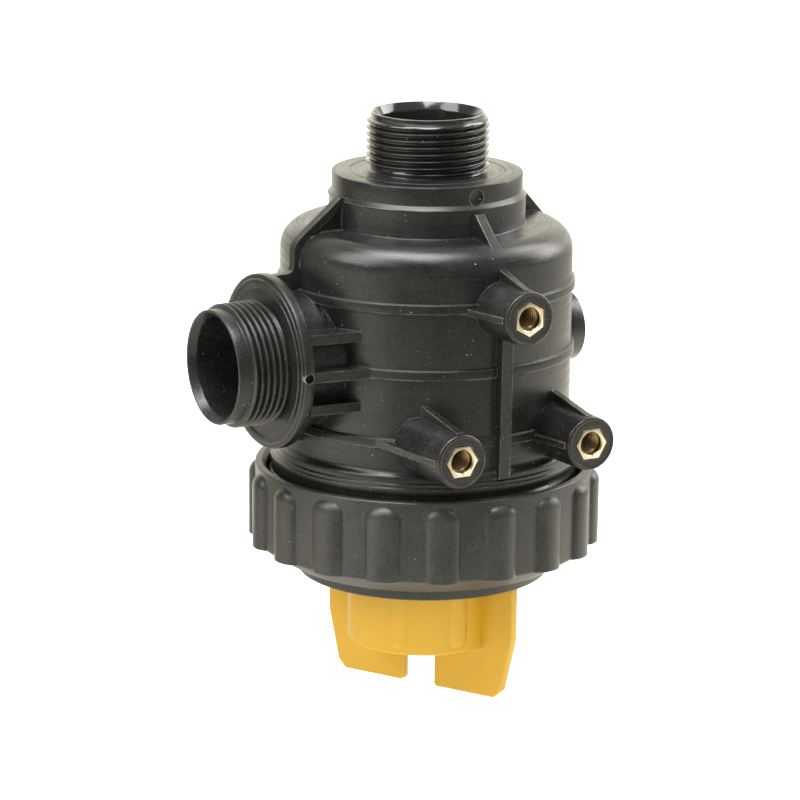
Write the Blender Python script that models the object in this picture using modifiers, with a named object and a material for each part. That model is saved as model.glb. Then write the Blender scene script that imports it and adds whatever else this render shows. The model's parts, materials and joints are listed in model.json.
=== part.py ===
"""Suction filter with a shut-off valve that its bottom knob works. Metres, +Z up.

The main axis is Z. The side port lies along -X, the three mounting bosses face -Y,
and the origin is where the axes of the two ports cross.
"""
import math

import bmesh
import bpy
from mathutils import Matrix, Vector

# Clearances
FACE_GAP = 0.0003          # between two pieces that seat on each other
RUNNING_GAP = 0.0004       # round a piece that slides or turns
RING_GAP = 0.0002          # round an O-ring in its groove
THREAD_GAP = 0.0005        # between the two halves of the coarse thread
HOLE_GAP = 0.0008          # between the cover's disc and the ring nut's hole
CUT_OVER = 0.0010          # how far a cutter runs past the face that it opens
EMBED = 0.0020             # how far a joined shape runs into its neighbour
EDGE = 0.0005              # softened edge of a moulded rim
WELD = 0.000002            # points closer than this become one

# Threaded ports, the same at the top and at the side
PORT_R = 0.02095           # crests of the pipe thread
THREAD_DEPTH = 0.0015
THREAD_PITCH = 0.0254 / 11 # eleven turns an inch
THREAD_FOOT = 0.0009       # half the width of a ridge at its foot
PORT_WALL = 0.00265        # under the thread
PORT_LEAD = 0.0026         # length of the cone that the first turns rise out of
TOP_CREST_DROP = 0.00168   # from the lip to a crest, on the +X side of the top port
SIDE_CREST_DROP = 0.0027   # the same for the side port, on its upper side
MOUTH_CHAMFER = 0.0018     # widening of the bore at its mouth
MOUTH_DEPTH = 0.0026
TOP_PORT_LENGTH = 0.02015
SIDE_PORT_LENGTH = 0.0186

# Barrel of the body
BODY_R = 0.0499
BODY_WALL = 0.0039
SHOULDER_Z = 0.0424
SHOULDER_FILLET = 0.0089
BAND_Z = (0.0224, 0.0, -0.0236)   # middles of the three reinforcing bands
BAND_H = 0.0032
BAND_PROUD = 0.0010
STRAKE_W = 0.0036          # upright band under the upper boss
STRAKE_PROUD = 0.0024
BODY_END_Z = -0.0630
MALE_PROUD = 0.0041        # coarse thread that takes the ring nut, outside the barrel
MALE_LENGTH = 0.0226
MALE_LEAD = 0.0011
SKIRT_PROUD = 0.0031       # how much the barrel widens above the ring nut
SKIRT_H = 0.0040

# Collar, the valve chamber above the shoulder
COLLAR_H = 0.0175
COLLAR_SETBACK = 0.0174    # from the barrel's side to the collar's
COLLAR_BAND = 0.0078       # height of the narrower top band
COLLAR_STEP = 0.0013       # how much wider the collar is below the band
COLLAR_FOOT = 0.0016       # fillet where the collar meets the shoulder
COLLAR_WALL = 0.0030
CHAMBER_ROOF = 0.0044      # thickness of the roof over the chamber
CHAMBER_LENGTH = 0.0295    # from the roof to the lower end of the chamber's tube
CHAMBER_WALL = 0.0035
RECESS_R = 0.00265         # round recess on the collar's rim, over the front gusset
RECESS_DEPTH = 0.0013
RECESS_DROP = 0.0041       # below the collar's top

# Gussets between the collar and the shoulder
GUSSET_T = 0.0034
SIDE_GUSSET_DROP = 0.0064  # from the collar's top to the two in the plane of the ports
FRONT_GUSSET_DROP = 0.0093 # the same for the front and back ones
GUSSET_LEDGE = 0.0008      # level part of a gusset, outside the collar
GUSSET_INSET = 0.0030      # from a gusset's foot to the barrel's side

# Side port flange with its web and fins
FLANGE_PROUD = 0.0136      # from the barrel's side to the flange's front face
FLANGE_R = 0.0296
FLANGE_T = 0.0042
NECK_R = 0.0236
WEB_PROUD = 0.0024         # how far the web over the neck stands off the barrel
WEB_BEND = 0.0060          # radius where the web leaves the gusset's slope
WEB_FOOT = 0.0022          # radius where it meets the flange
FIN_T = 0.0034
FIN_PITCH = 0.0120
FIN_FLARE = 0.0026         # how much further a fin reaches at the barrel than at the flange
PIN_HOLE_R = 0.0016        # small hole in the flange's rim
PIN_HOLE_DEPTH = 0.0022

# Blank round pad opposite the side port
PAD_R = 0.0125
PAD_PROUD = 0.0076         # from the barrel's side to the pad's face
PAD_RIM = 0.0016
PAD_SINK = 0.0012

# Mounting bosses, facing -Y
BOSS_PROUD = 0.0174        # from the barrel's side to the bosses' faces
BOSS_TIP_R = 0.0091
BOSS_TAPER = 0.03          # radius gained per unit of length towards the body
UPPER_BOSS_Z = 0.0214
LOWER_BOSS_Z = -0.0238
LOWER_BOSS_X = 0.0251
BOSS_FIN_T = 0.0022
BOSS_FIN_REACH = 0.0133    # height of a fin over the boss axis, at the body
BOSS_FIN_RISE = 0.0004     # height of a fin over the boss's face, at its tip
BOSS_FIN_STOP = 0.0020     # plain stretch of a boss past its fins
INSERT_FLATS = 0.0103      # brass hexagon across its flats
INSERT_LENGTH = 0.0130
INSERT_BORE_R = 0.00332

# Bottom cover
COVER_HUB_SETBACK = 0.0082 # from the clamped rim to the disc that shows below the ring nut
COVER_PROUD = 0.0044       # how far the disc stands out of the ring nut
COVER_RIM_SETBACK = 0.0024 # from the coarse thread's outside to the clamped rim's
COVER_RIM_T = 0.0050
COVER_FLOOR = 0.0052
COVER_EDGE = 0.0008
SPIGOT_H = 0.0093          # above the rim
SPIGOT_WALL = 0.0055
SPIGOT_LEAD = 0.0010
LEDGE_DROP = 0.0106        # from the spigot's top to the shelf that carries the cartridge
LEDGE_W = 0.0072
STEM_HUB_R = 0.0098
STEM_HUB_H = 0.0198        # above the disc's outer face
COVER_RIBS = 6
COVER_RIB_T = 0.0022
COVER_RIB_H = 0.0062

# Ring nut
NUT_WALL = 0.0037
NUT_TOP_GAP = 0.0011       # between the skirt's lower edge and the nut
NUT_FLOOR_T = 0.0068
NUT_CONE_H = 0.0066        # height of the cone under the outer wall
NUT_LAND = 0.0036          # level width round the nut's hole, inside the cone
NUT_BEVEL = 0.0015
NUT_EDGE = 0.0008
RIB_COUNT = 18
RIB_PHASE = math.radians(6)   # turn of the nut at rest
RIB_W = 0.0128
RIB_DEPTH = 0.0039         # half the depth of a rib's oval section
RIB_PROUD = 0.0026
RIB_DROP = 0.0017          # from the nut's top to a rib's
RIB_DOME = 0.0046          # height of a rib's rounded top

# O-rings
COVER_RING_WIRE = 0.0012   # half the thickness of the section
COVER_RING_RISE = 0.0043   # above the cover's rim
SEAT_RING_WIRE = 0.0008
SEAT_RING_RISE = 0.0028    # above the seat's flange
STEM_RING_WIRE = 0.0006
STEM_RING_RISE = (0.0148, 0.0108)   # above the cover's outer face

# Valve
VALVE_LIFT = 0.0080        # travel of the poppet between open and shut
SEAT_LIP_H = 0.0023        # above the seat's flange
SEAT_LIP_W = 0.0018
SEAT_LIP_FOOT = 0.0008     # how much wider the lip is at its foot
SEAT_DISH = 0.0010         # depth of the floor round the lip, below the flange's top
SEAT_BORE_SETBACK = 0.0110 # from the chamber's wall to the seat's bore
SEAT_FLANGE_LAP = 0.0035   # how far the flange passes the chamber's tube
SEAT_FLANGE_T = 0.0037
SEAT_SPIGOT_H = 0.0053
SEAT_SPIGOT_W = 0.0032
SEAT_TAIL_SETBACK = 0.0095 # from the flange's rim to the tail
SEAT_TAIL_WALL = 0.0024
SEAT_TAIL_LENGTH = 0.0090
SEAT_TAIL_LEAD = 0.0010
POPPET_LAP = 0.0059        # how far the disc passes the seat's bore
POPPET_RIM = 0.0009        # how far the rubber ring stands out of the poppet
POPPET_T = 0.0038
PILOT_LAP = 0.0008         # how far the raised middle that centres the spring passes the bore
PILOT_H = 0.0020
PILOT_EDGE = 0.0008
GUIDE_T = 0.0020
GUIDE_REACH = 0.0030       # how far the guide fins pass the seat's lip
POPPET_HUB_R = 0.0070
POPPET_HUB_END = 0.0007    # how far the hub passes the guide fins
PAD_RING_LAP = (0.0002, 0.0043)   # rubber ring under the poppet, from the seat's bore outwards
PAD_RING_T = 0.0024
SPRING_SPACE = 0.0024      # from the pilot to the middle of the wire
SPRING_WIRE = 0.0010
SPRING_TURNS = 3.5
SPRING_STEPS = 14          # points in each turn

# Stem and knob
STEM_R = 0.0049
STEM_TOP_R = 0.0040
STEM_EDGE = 0.0008
STEM_STEP_RISE = 0.0040    # from the cover's hub to where the stem narrows
KNOB_R = 0.0259
KNOB_H = 0.0249
KNOB_EDGE = 0.0008
GRIP_COUNT = 3             # raised grips on each side, between the wings
GRIP_SPACING = math.radians(47.4)
GRIP_TURN = math.radians(13.1)   # of the middle grip, from halfway between the wings
GRIP_W = 0.0077
GRIP_PROUD = 0.0012
GRIP_TOP = 0.0012          # plain stretches above and below a grip
GRIP_END = 0.0016
WING_PROUD = 0.0115        # from the drum's side to a wing's outer edge
WING_DROP = 0.0019         # from the knob's top to a wing's
WING_BEND_RISE = 0.0040    # from the drum's lower face to where a wing starts to narrow
WING_NARROW = 0.0043       # how much a wing narrows from its bend to its tip
WING_LENGTH = 0.0174       # below the drum
WING_CORNER = 0.0029       # cut corner at a wing's outer tip
WING_INNER_CORNER = 0.0008
WING_T = 0.0037
WING_GAP_R = 0.0063        # half the gap between the two wings
WING_ANGLE = math.radians(118)
SCREW_R = 0.0020
SCREW_TIP = 0.0005
SCREW_HEAD_R = 0.0044
SCREW_HEAD_T = 0.0026
SCREW_HEAD_EDGE = 0.0011
SCREW_LENGTH = 0.0120
SCREW_WEB = 0.0034         # plastic under the screw's head
SLOT_T = 0.0009            # cross slot
SLOT_R = 0.0024
SLOT_DEPTH = 0.0013

# Cartridge
FRAME_GAP = 0.0007         # round the cartridge, in the cover's spigot
FRAME_WALL = 0.0016
FRAME_TOP_RING = 0.0073
FRAME_END_RING = 0.0046
GASKET_T = 0.0021
GASKET_W = 0.0062
GASKET_BORE_GAP = 0.0029   # round the seat's tail, in the upper gasket
GASKET_MARGIN = 0.0004     # from a gasket's outside to the edge of the flange that it lies on
WINDOW_COLUMNS = 6
WINDOW_ROWS = 3
WINDOW_BAR = 0.0045        # width of the bars between windows
MESH_T = 0.0005

# Facets
BODY_SIDES = 40            # a multiple of 8, so that facets meet the planes of ports and bosses
PORT_SIDES = 24            # steps in each turn of the pipe thread
NUT_SIDES = 36             # two for each rib
RIB_SIDES = 12
INNER_SIDES = 24
BOSS_SIDES = 20
STEM_SIDES = 16
SCREW_SIDES = 12
RING_SIDES = 6
MARKER_SIZE = 0.02         # drawn size of the empties on the joint axes

# Sizes that follow from the ones above
PORT_CORE_R = PORT_R - THREAD_DEPTH
PORT_LIP_R = PORT_CORE_R - EDGE
PORT_BORE_R = PORT_CORE_R - PORT_WALL
COLLAR_R = BODY_R - COLLAR_SETBACK
CHAMBER_R = COLLAR_R - COLLAR_WALL
MALE_R = BODY_R + MALE_PROUD
SKIRT_R = BODY_R + SKIRT_PROUD
FLANGE_X = BODY_R + FLANGE_PROUD
PAD_X = BODY_R + PAD_PROUD
BOSS_FACE_Y = BODY_R + BOSS_PROUD
COLLAR_TOP_Z = SHOULDER_Z + COLLAR_H
TOP_LIP_Z = COLLAR_TOP_Z + TOP_PORT_LENGTH
SIDE_LIP_X = FLANGE_X + SIDE_PORT_LENGTH
FLANGE_BACK_X = FLANGE_X - FLANGE_T
RECESS_Z = COLLAR_TOP_Z - RECESS_DROP
SIDE_GUSSET_Z = COLLAR_TOP_Z - SIDE_GUSSET_DROP
FRONT_GUSSET_Z = COLLAR_TOP_Z - FRONT_GUSSET_DROP
BODY_BORE_R = BODY_R - BODY_WALL
MALE_TOP_Z = BODY_END_Z + MALE_LENGTH
SKIRT_Z = MALE_TOP_Z + SKIRT_H
CHAMBER_TOP_Z = COLLAR_TOP_Z - CHAMBER_ROOF
CHAMBER_END_Z = CHAMBER_TOP_Z - CHAMBER_LENGTH
CHAMBER_WALL_R = CHAMBER_R + CHAMBER_WALL
SEAT_FLANGE_R = CHAMBER_WALL_R + SEAT_FLANGE_LAP
SEAT_TAIL_R = SEAT_FLANGE_R - SEAT_TAIL_SETBACK
SEAT_BORE_R = CHAMBER_R - SEAT_BORE_SETBACK
POPPET_R = SEAT_BORE_R + POPPET_LAP
PILOT_R = SEAT_BORE_R + PILOT_LAP
SPRING_R = PILOT_R + SPRING_SPACE
PAD_RING_R = (SEAT_BORE_R + PAD_RING_LAP[0], SEAT_BORE_R + PAD_RING_LAP[1])
SEAT_FACE_Z = CHAMBER_END_Z - FACE_GAP
SEAT_BASE_Z = SEAT_FACE_Z - SEAT_FLANGE_T
SEAT_TOP_Z = SEAT_FACE_Z + SEAT_LIP_H
SEAT_TAIL_Z = SEAT_BASE_Z - SEAT_TAIL_LENGTH
SEAT_RING_Z = SEAT_FACE_Z + SEAT_RING_RISE
SEAT_SPIGOT_R = CHAMBER_R - FACE_GAP
PAD_RING_Z = SEAT_TOP_Z + VALVE_LIFT + FACE_GAP
POPPET_BASE_Z = PAD_RING_Z + POPPET_RIM
POPPET_TOP_Z = POPPET_BASE_Z + POPPET_T
GUIDE_END_Z = SEAT_TOP_Z - GUIDE_REACH
POPPET_HUB_Z = GUIDE_END_Z - POPPET_HUB_END
COVER_RIM_R = MALE_R - COVER_RIM_SETBACK
COVER_HUB_R = COVER_RIM_R - COVER_HUB_SETBACK
COVER_TOP_Z = BODY_END_Z - FACE_GAP
NUT_TOP_Z = MALE_TOP_Z - NUT_TOP_GAP
NUT_FLOOR_Z = COVER_TOP_Z - COVER_RIM_T - FACE_GAP
NUT_END_Z = NUT_FLOOR_Z - NUT_FLOOR_T
NUT_EDGE_Z = NUT_END_Z + NUT_CONE_H
NUT_BORE_R = MALE_R + THREAD_GAP
NUT_R = NUT_BORE_R + NUT_WALL
NUT_HOLE_R = COVER_HUB_R + HOLE_GAP
NUT_CONE_R = NUT_HOLE_R + NUT_LAND
RIB_TOP_Z = NUT_TOP_Z - RIB_DROP
COVER_END_Z = NUT_END_Z - COVER_PROUD
COVER_RING_Z = COVER_TOP_Z + COVER_RING_RISE
SPIGOT_R = BODY_BORE_R - FACE_GAP
SPIGOT_INNER_R = SPIGOT_R - SPIGOT_WALL
SPIGOT_TOP_Z = COVER_TOP_Z + SPIGOT_H
LEDGE_Z = SPIGOT_TOP_Z - LEDGE_DROP
STEM_HUB_TOP_Z = COVER_END_Z + STEM_HUB_H
STEM_STEP_Z = STEM_HUB_TOP_Z + STEM_STEP_RISE
STEM_TOP_Z = POPPET_HUB_Z - FACE_GAP
STEM_BORE_R = STEM_R + FACE_GAP
KNOB_TOP_Z = COVER_END_Z - FACE_GAP
KNOB_END_Z = KNOB_TOP_Z - KNOB_H
COUNTERSINK_Z = KNOB_END_Z + SCREW_HEAD_T + FACE_GAP
STEM_END_Z = COUNTERSINK_Z + SCREW_WEB + FACE_GAP
WING_R = KNOB_R + WING_PROUD
WING_TIP_R = WING_R - WING_NARROW
WING_TOP_Z = KNOB_TOP_Z - WING_DROP
WING_BEND_Z = KNOB_END_Z + WING_BEND_RISE
WING_END_Z = KNOB_END_Z - WING_LENGTH
FRAME_R = SPIGOT_INNER_R - FRAME_GAP
FRAME_TOP_Z = SEAT_BASE_Z - GASKET_T - 2 * FACE_GAP
FRAME_END_Z = LEDGE_Z + GASKET_T + 2 * FACE_GAP


def collection(name):
    """A collection linked to the scene."""
    group = bpy.data.collections.new(name)
    bpy.context.scene.collection.children.link(group)
    return group


def material(name, colour, roughness, metallic=0.0):
    """A Principled material from an sRGB colour such as '2b2b2a'."""
    channels = [int(colour[i:i + 2], 16) / 255 for i in (0, 2, 4)]
    linear = [c / 12.92 if c <= 0.04045 else ((c + 0.055) / 1.055) ** 2.4 for c in channels]
    result = bpy.data.materials.new(name)
    result.use_nodes = True
    shader = result.node_tree.nodes["Principled BSDF"]
    shader.inputs["Base Color"].default_value = (*linear, 1.0)
    shader.inputs["Roughness"].default_value = roughness
    shader.inputs["Metallic"].default_value = metallic
    result.diffuse_color = (*linear, 1.0)
    return result


def link(name, mesh, group):
    """An object for a mesh, in its collection."""
    result = bpy.data.objects.new(name, mesh)
    group.objects.link(result)
    return result


def turned(name, profile, group, sides=BODY_SIDES, ring=False):
    """A solid turned about Z from (radius, height) points, down its outer side.

    A ring is turned from a closed profile that stays off the axis.
    """
    mesh = bpy.data.meshes.new(name)
    points = [(r, 0.0, z) for r, z in profile]
    edges = [(i, i + 1) for i in range(len(points) - 1)]
    if ring:
        edges.append((len(points) - 1, 0))
    mesh.from_pydata(points, edges, [])
    result = link(name, mesh, group)
    screw = result.modifiers.new("Turn", "SCREW")
    screw.steps = sides
    screw.render_steps = sides
    screw.use_merge_vertices = True
    screw.merge_threshold = WELD
    return result


def plate(name, outline, thickness, group, frame=None):
    """A flat plate, its outline in the XY plane of a frame and centred on that plane."""
    curve = bpy.data.curves.new(name, "CURVE")
    curve.dimensions = "2D"
    curve.fill_mode = "BOTH"
    curve.extrude = thickness / 2
    spline = curve.splines.new("POLY")
    spline.points.add(len(outline) - 1)
    for point, (x, y) in zip(spline.points, outline):
        point.co = (x, y, 0.0, 1.0)
    spline.use_cyclic_u = True
    flat = bpy.data.objects.new(name, curve)
    group.objects.link(flat)
    bpy.context.view_layer.update()
    mesh = bpy.data.meshes.new_from_object(flat.evaluated_get(bpy.context.evaluated_depsgraph_get()))
    bpy.data.objects.remove(flat)
    body = bmesh.new()
    body.from_mesh(mesh)
    bmesh.ops.remove_doubles(body, verts=body.verts, dist=WELD)
    bmesh.ops.recalc_face_normals(body, faces=body.faces)
    body.transform(frame or Matrix.Identity(4))
    body.to_mesh(mesh)
    body.free()
    return link(name, mesh, group)


def primitive(name, group, kind, frame, **sizes):
    """A closed bmesh primitive placed by a frame."""
    body = bmesh.new()
    getattr(bmesh.ops, kind)(body, matrix=frame, **sizes)
    mesh = bpy.data.meshes.new(name)
    body.to_mesh(mesh)
    body.free()
    return link(name, mesh, group)


def cylinder(name, group, radius, start, end, sides=BOSS_SIDES, tip_radius=None):
    """A cylinder or cone from one point to another, widest at its start."""
    start, end = Vector(start), Vector(end)
    turn = (end - start).to_track_quat("Z", "Y").to_matrix().to_4x4()
    frame = Matrix.Translation((start + end) / 2) @ turn
    return primitive(name, group, "create_cone", frame, cap_ends=True, segments=sides, radius1=radius,
                     radius2=radius if tip_radius is None else tip_radius, depth=(end - start).length)


def joined(name, pieces, group):
    """One object from several that don't touch each other."""
    body = bmesh.new()
    bpy.context.view_layer.update()
    depsgraph = bpy.context.evaluated_depsgraph_get()
    for piece in pieces:
        mesh = bpy.data.meshes.new_from_object(piece.evaluated_get(depsgraph))
        mesh.transform(piece.matrix_world)
        body.from_mesh(mesh)
        bpy.data.meshes.remove(mesh)
    for piece in pieces:
        bpy.data.objects.remove(piece)
    mesh = bpy.data.meshes.new(name)
    body.to_mesh(mesh)
    body.free()
    return link(name, mesh, group)


def combine(target, tool, operation):
    """Adds a Boolean to the target and hides its tool."""
    tool.hide_render = True
    tool.display_type = "WIRE"
    step = target.modifiers.new(tool.name, "BOOLEAN")
    step.operation = operation
    step.solver = "EXACT"
    step.object = tool


def settle(target, look):
    """Applies the modifiers, shades round faces smooth and gives the material."""
    bpy.context.view_layer.update()
    mesh = bpy.data.meshes.new_from_object(target.evaluated_get(bpy.context.evaluated_depsgraph_get()))
    target.modifiers.clear()
    target.data = mesh
    body = bmesh.new()
    body.from_mesh(mesh)
    bmesh.ops.remove_doubles(body, verts=body.verts, dist=WELD)
    body.to_mesh(mesh)
    body.free()
    mesh.materials.clear()
    mesh.materials.append(look)
    mesh.shade_smooth()
    mesh.set_sharp_from_angle(angle=math.radians(32))
    return target


def on_axis(target, parent):
    """Parents a piece to the empty that marks its joint, without moving the piece."""
    target.parent = parent
    target.matrix_parent_inverse = parent.matrix_basis.inverted()
    return target


def arc(centre, radius, start, end, steps):
    """Points of an arc in degrees, both ends included."""
    return [(centre[0] + radius * math.cos(math.radians(start + (end - start) * i / steps)),
             centre[1] + radius * math.sin(math.radians(start + (end - start) * i / steps)))
            for i in range(steps + 1)]


def turn_z(angle):
    return Matrix.Rotation(angle, 4, "Z")


def upright(angle):
    """A frame whose X runs outwards at an angle about Z and whose Y is up."""
    return turn_z(angle) @ Matrix.Rotation(math.radians(90), 4, "X")


def along_x(target):
    """Turns a solid that was turned about Z so that its +Z end points to -X."""
    target.matrix_world = Matrix.Rotation(math.radians(-90), 4, "Y")
    return target


def threaded_port(name, root, tip, crest_drop, group):
    """A solid port along Z with a helical thread, cut back to a cone at its lip.

    One turn of the surface is a ridge and the groove above it. It is swept past both
    ends of the port and cut level there.
    """
    spare = 2
    turns = math.ceil((tip - root) / THREAD_PITCH) + 2 * spare
    low = tip - crest_drop - (turns - spare) * THREAD_PITCH
    section = [(PORT_CORE_R, -THREAD_FOOT), (PORT_R, 0.0), (PORT_CORE_R, THREAD_FOOT),
               (PORT_CORE_R, THREAD_PITCH - THREAD_FOOT)]
    body = bmesh.new()
    verts = [body.verts.new((r, 0.0, low + z)) for r, z in section]
    edges = [body.edges.new(pair) for pair in zip(verts, verts[1:])]
    bmesh.ops.spin(body, geom=verts + edges, cent=(0, 0, 0), axis=(0, 0, 1), angle=math.tau * turns,
                   dvec=(0, 0, THREAD_PITCH / PORT_SIDES), steps=turns * PORT_SIDES)
    bmesh.ops.remove_doubles(body, verts=body.verts, dist=WELD)
    slope = (PORT_R - PORT_LIP_R) / PORT_LEAD
    for vert in body.verts:
        radius = math.hypot(vert.co.x, vert.co.y)
        limit = PORT_LIP_R + max(0.0, tip - vert.co.z) * slope
        vert.co.x *= min(radius, limit) / radius
        vert.co.y *= min(radius, limit) / radius
    for level, up in ((tip, 1), (root, -1)):
        geom = body.verts[:] + body.edges[:] + body.faces[:]
        bmesh.ops.bisect_plane(body, geom=geom, dist=WELD, plane_co=(0, 0, level),
                               plane_no=(0, 0, up), clear_outer=True)
    bmesh.ops.holes_fill(body, edges=[edge for edge in body.edges if edge.is_boundary])
    bmesh.ops.recalc_face_normals(body, faces=body.faces)
    mesh = bpy.data.meshes.new(name)
    body.to_mesh(mesh)
    body.free()
    return link(name, mesh, group)


def mouth_outline(tip):
    """Profile of a port's bore from outside its lip to the end of the mouth's chamfer."""
    slope = MOUTH_CHAMFER / MOUTH_DEPTH
    return [(0.0, tip + CUT_OVER), (PORT_BORE_R + MOUTH_CHAMFER + CUT_OVER * slope, tip + CUT_OVER),
            (PORT_BORE_R, tip - MOUTH_DEPTH)]


def body_profile():
    """Outer profile of the body: collar, shoulder, banded barrel, skirt and male thread."""
    low_r = COLLAR_R + COLLAR_STEP
    step_z = COLLAR_TOP_Z - COLLAR_BAND
    fillet = (BODY_R - SHOULDER_FILLET, SHOULDER_Z - SHOULDER_FILLET)
    profile = [(0.0, COLLAR_TOP_Z), (COLLAR_R - EDGE, COLLAR_TOP_Z), (COLLAR_R, COLLAR_TOP_Z - EDGE)]
    profile += [(COLLAR_R, step_z + COLLAR_STEP), (low_r, step_z)]
    profile += arc((low_r + COLLAR_FOOT, SHOULDER_Z + COLLAR_FOOT), COLLAR_FOOT, 180, 270, 2)
    profile += arc(fillet, SHOULDER_FILLET, 90, 0, 6)
    for middle in BAND_Z:
        profile += [(BODY_R, middle + BAND_H / 2 + EDGE), (BODY_R + BAND_PROUD, middle + BAND_H / 2)]
        profile += [(BODY_R + BAND_PROUD, middle - BAND_H / 2), (BODY_R, middle - BAND_H / 2 - EDGE)]
    profile += [(BODY_R, SKIRT_Z + (SKIRT_R - BODY_R) / 2), (SKIRT_R, SKIRT_Z), (SKIRT_R, MALE_TOP_Z)]
    profile += [(MALE_R, MALE_TOP_Z - MALE_LEAD), (MALE_R, BODY_END_Z + MALE_LEAD)]
    profile += [(MALE_R - MALE_LEAD, BODY_END_Z), (0.0, BODY_END_Z)]
    return profile


def cavity_profile():
    """The space inside the body: top bore, valve chamber, and the barrel round the chamber's tube."""
    inner_fillet = SHOULDER_FILLET - BODY_WALL
    centre = (BODY_BORE_R - inner_fillet, SHOULDER_Z - BODY_WALL - inner_fillet)
    profile = mouth_outline(TOP_LIP_Z)
    profile += [(PORT_BORE_R, CHAMBER_TOP_Z), (CHAMBER_R, CHAMBER_TOP_Z), (CHAMBER_R, CHAMBER_END_Z)]
    profile += [(CHAMBER_WALL_R, CHAMBER_END_Z), (CHAMBER_WALL_R, SHOULDER_Z - BODY_WALL)]
    profile += arc(centre, inner_fillet, 90, 0, 4)
    profile += [(BODY_BORE_R, BODY_END_Z - CUT_OVER), (0.0, BODY_END_Z - CUT_OVER)]
    return profile


def side_flange(group):
    """Flange and neck of the side port, turned about the X axis."""
    root = math.sqrt(BODY_BORE_R ** 2 - NECK_R ** 2) - EMBED
    profile = [(0.0, FLANGE_X), (FLANGE_R - EDGE, FLANGE_X), (FLANGE_R, FLANGE_X - EDGE)]
    profile += [(FLANGE_R, FLANGE_BACK_X + EDGE), (FLANGE_R - EDGE, FLANGE_BACK_X)]
    profile += [(NECK_R, FLANGE_BACK_X), (NECK_R, root), (0.0, root)]
    return along_x(turned("flange_solid", profile, group))


def boss_places():
    """Name, x and z of each mounting boss."""
    return [("upper", 0.0, UPPER_BOSS_Z), ("left", -LOWER_BOSS_X, LOWER_BOSS_Z),
            ("right", LOWER_BOSS_X, LOWER_BOSS_Z)]


def boss_root(x):
    """How far from the XZ plane a boss starts, just inside the body's wall."""
    return math.sqrt(BODY_R ** 2 - x ** 2) - BODY_WALL


def boss(name, x, z, group):
    root = boss_root(x)
    base = BOSS_TIP_R + BOSS_TAPER * (BOSS_FACE_Y - root)
    return cylinder(name, group, base, (x, -root, z), (x, -BOSS_FACE_Y, z), BOSS_SIDES, BOSS_TIP_R)


def boss_fin(name, x, z, angle, group):
    """A thin fin along a boss, at an angle about the boss axis from upright."""
    turn = Matrix.Rotation(angle, 4, "Y")
    side = x + BOSS_FIN_REACH * math.sin(angle)
    wall = math.sqrt(BODY_R ** 2 - side ** 2)
    root = min(wall, boss_root(x)) - EMBED / 2
    foot = min(wall, boss_root(x) + BODY_WALL)
    tip = BOSS_FACE_Y - BOSS_FIN_STOP
    low = BOSS_TIP_R / 4
    outline = [(root, low), (tip, low), (tip, BOSS_TIP_R + BOSS_FIN_RISE), (foot, BOSS_FIN_REACH),
               (root, BOSS_FIN_REACH)]
    frame = Matrix.Translation((x, 0.0, z)) @ turn @ upright(math.radians(-90))
    return plate(name, outline, BOSS_FIN_T, group, frame)


def shoulder_at(radius):
    """Height of the shoulder's fillet at a distance from the main axis."""
    past = radius - BODY_R + SHOULDER_FILLET
    return SHOULDER_Z - SHOULDER_FILLET + math.sqrt(SHOULDER_FILLET ** 2 - past ** 2)


def gusset_outline(top_z):
    """Slanted plate from the collar to the shoulder's edge."""
    foot = BODY_R - GUSSET_INSET
    inner = (COLLAR_R + CHAMBER_R) / 2
    return [(inner, top_z), (COLLAR_R + GUSSET_LEDGE, top_z), (foot, shoulder_at(foot)),
            (foot, shoulder_at(foot) - EMBED / 2), (inner, SHOULDER_Z - EMBED)]


def port_web_outline():
    """Plate in the plane of the ports: gusset, then down the shoulder to the flange's top."""
    inner = (COLLAR_R + CHAMBER_R) / 2
    outside = BODY_R + WEB_PROUD
    inside = BODY_R - EMBED
    back = FLANGE_BACK_X + EDGE + FLANGE_T / 4
    outline = [(inner, SIDE_GUSSET_Z), (COLLAR_R + GUSSET_LEDGE, SIDE_GUSSET_Z)]
    outline += arc((outside - WEB_BEND, SHOULDER_Z - WEB_BEND), WEB_BEND, 50, 0, 3)
    outline += arc((outside + WEB_FOOT, FLANGE_R - EDGE + WEB_FOOT), WEB_FOOT, 180, 270, 2)
    outline += [(back, FLANGE_R - EDGE), (back, NECK_R - EMBED), (inside, NECK_R - EMBED)]
    return outline + [(inside, SHOULDER_Z - SHOULDER_FILLET), (inner, SHOULDER_Z - EMBED)]


def body_webs(group):
    """Upright plates of the body: gussets, the web over the side port and the strake."""
    upper_gusset = gusset_outline(FRONT_GUSSET_Z)
    webs = [plate("web_side", port_web_outline(), GUSSET_T, group, upright(math.pi))]
    webs.append(plate("gusset_far", gusset_outline(SIDE_GUSSET_Z), GUSSET_T, group, upright(0.0)))
    for angle in (-90, 90):
        webs.append(plate(f"gusset_{angle}", upper_gusset, GUSSET_T, group, upright(math.radians(angle))))
    back = FLANGE_BACK_X + FLANGE_T / 4
    inside = BODY_R - EMBED
    under = [(inside, -NECK_R + EMBED), (back, -NECK_R + EMBED), (back, -FLANGE_R + 2 * EDGE),
             (inside, -FLANGE_R + 2 * EDGE)]
    webs.append(plate("web_under", under, GUSSET_T, group, upright(math.pi)))
    outer = BODY_R + STRAKE_PROUD
    strake = [(inside, UPPER_BOSS_Z - BOSS_TIP_R), (outer, UPPER_BOSS_Z - BOSS_TIP_R),
              (outer, SKIRT_Z - EDGE), (inside, SKIRT_Z - EDGE)]
    webs.append(plate("strake", strake, STRAKE_W, group, upright(math.radians(-90))))
    return joined("webs", webs, group)


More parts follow.
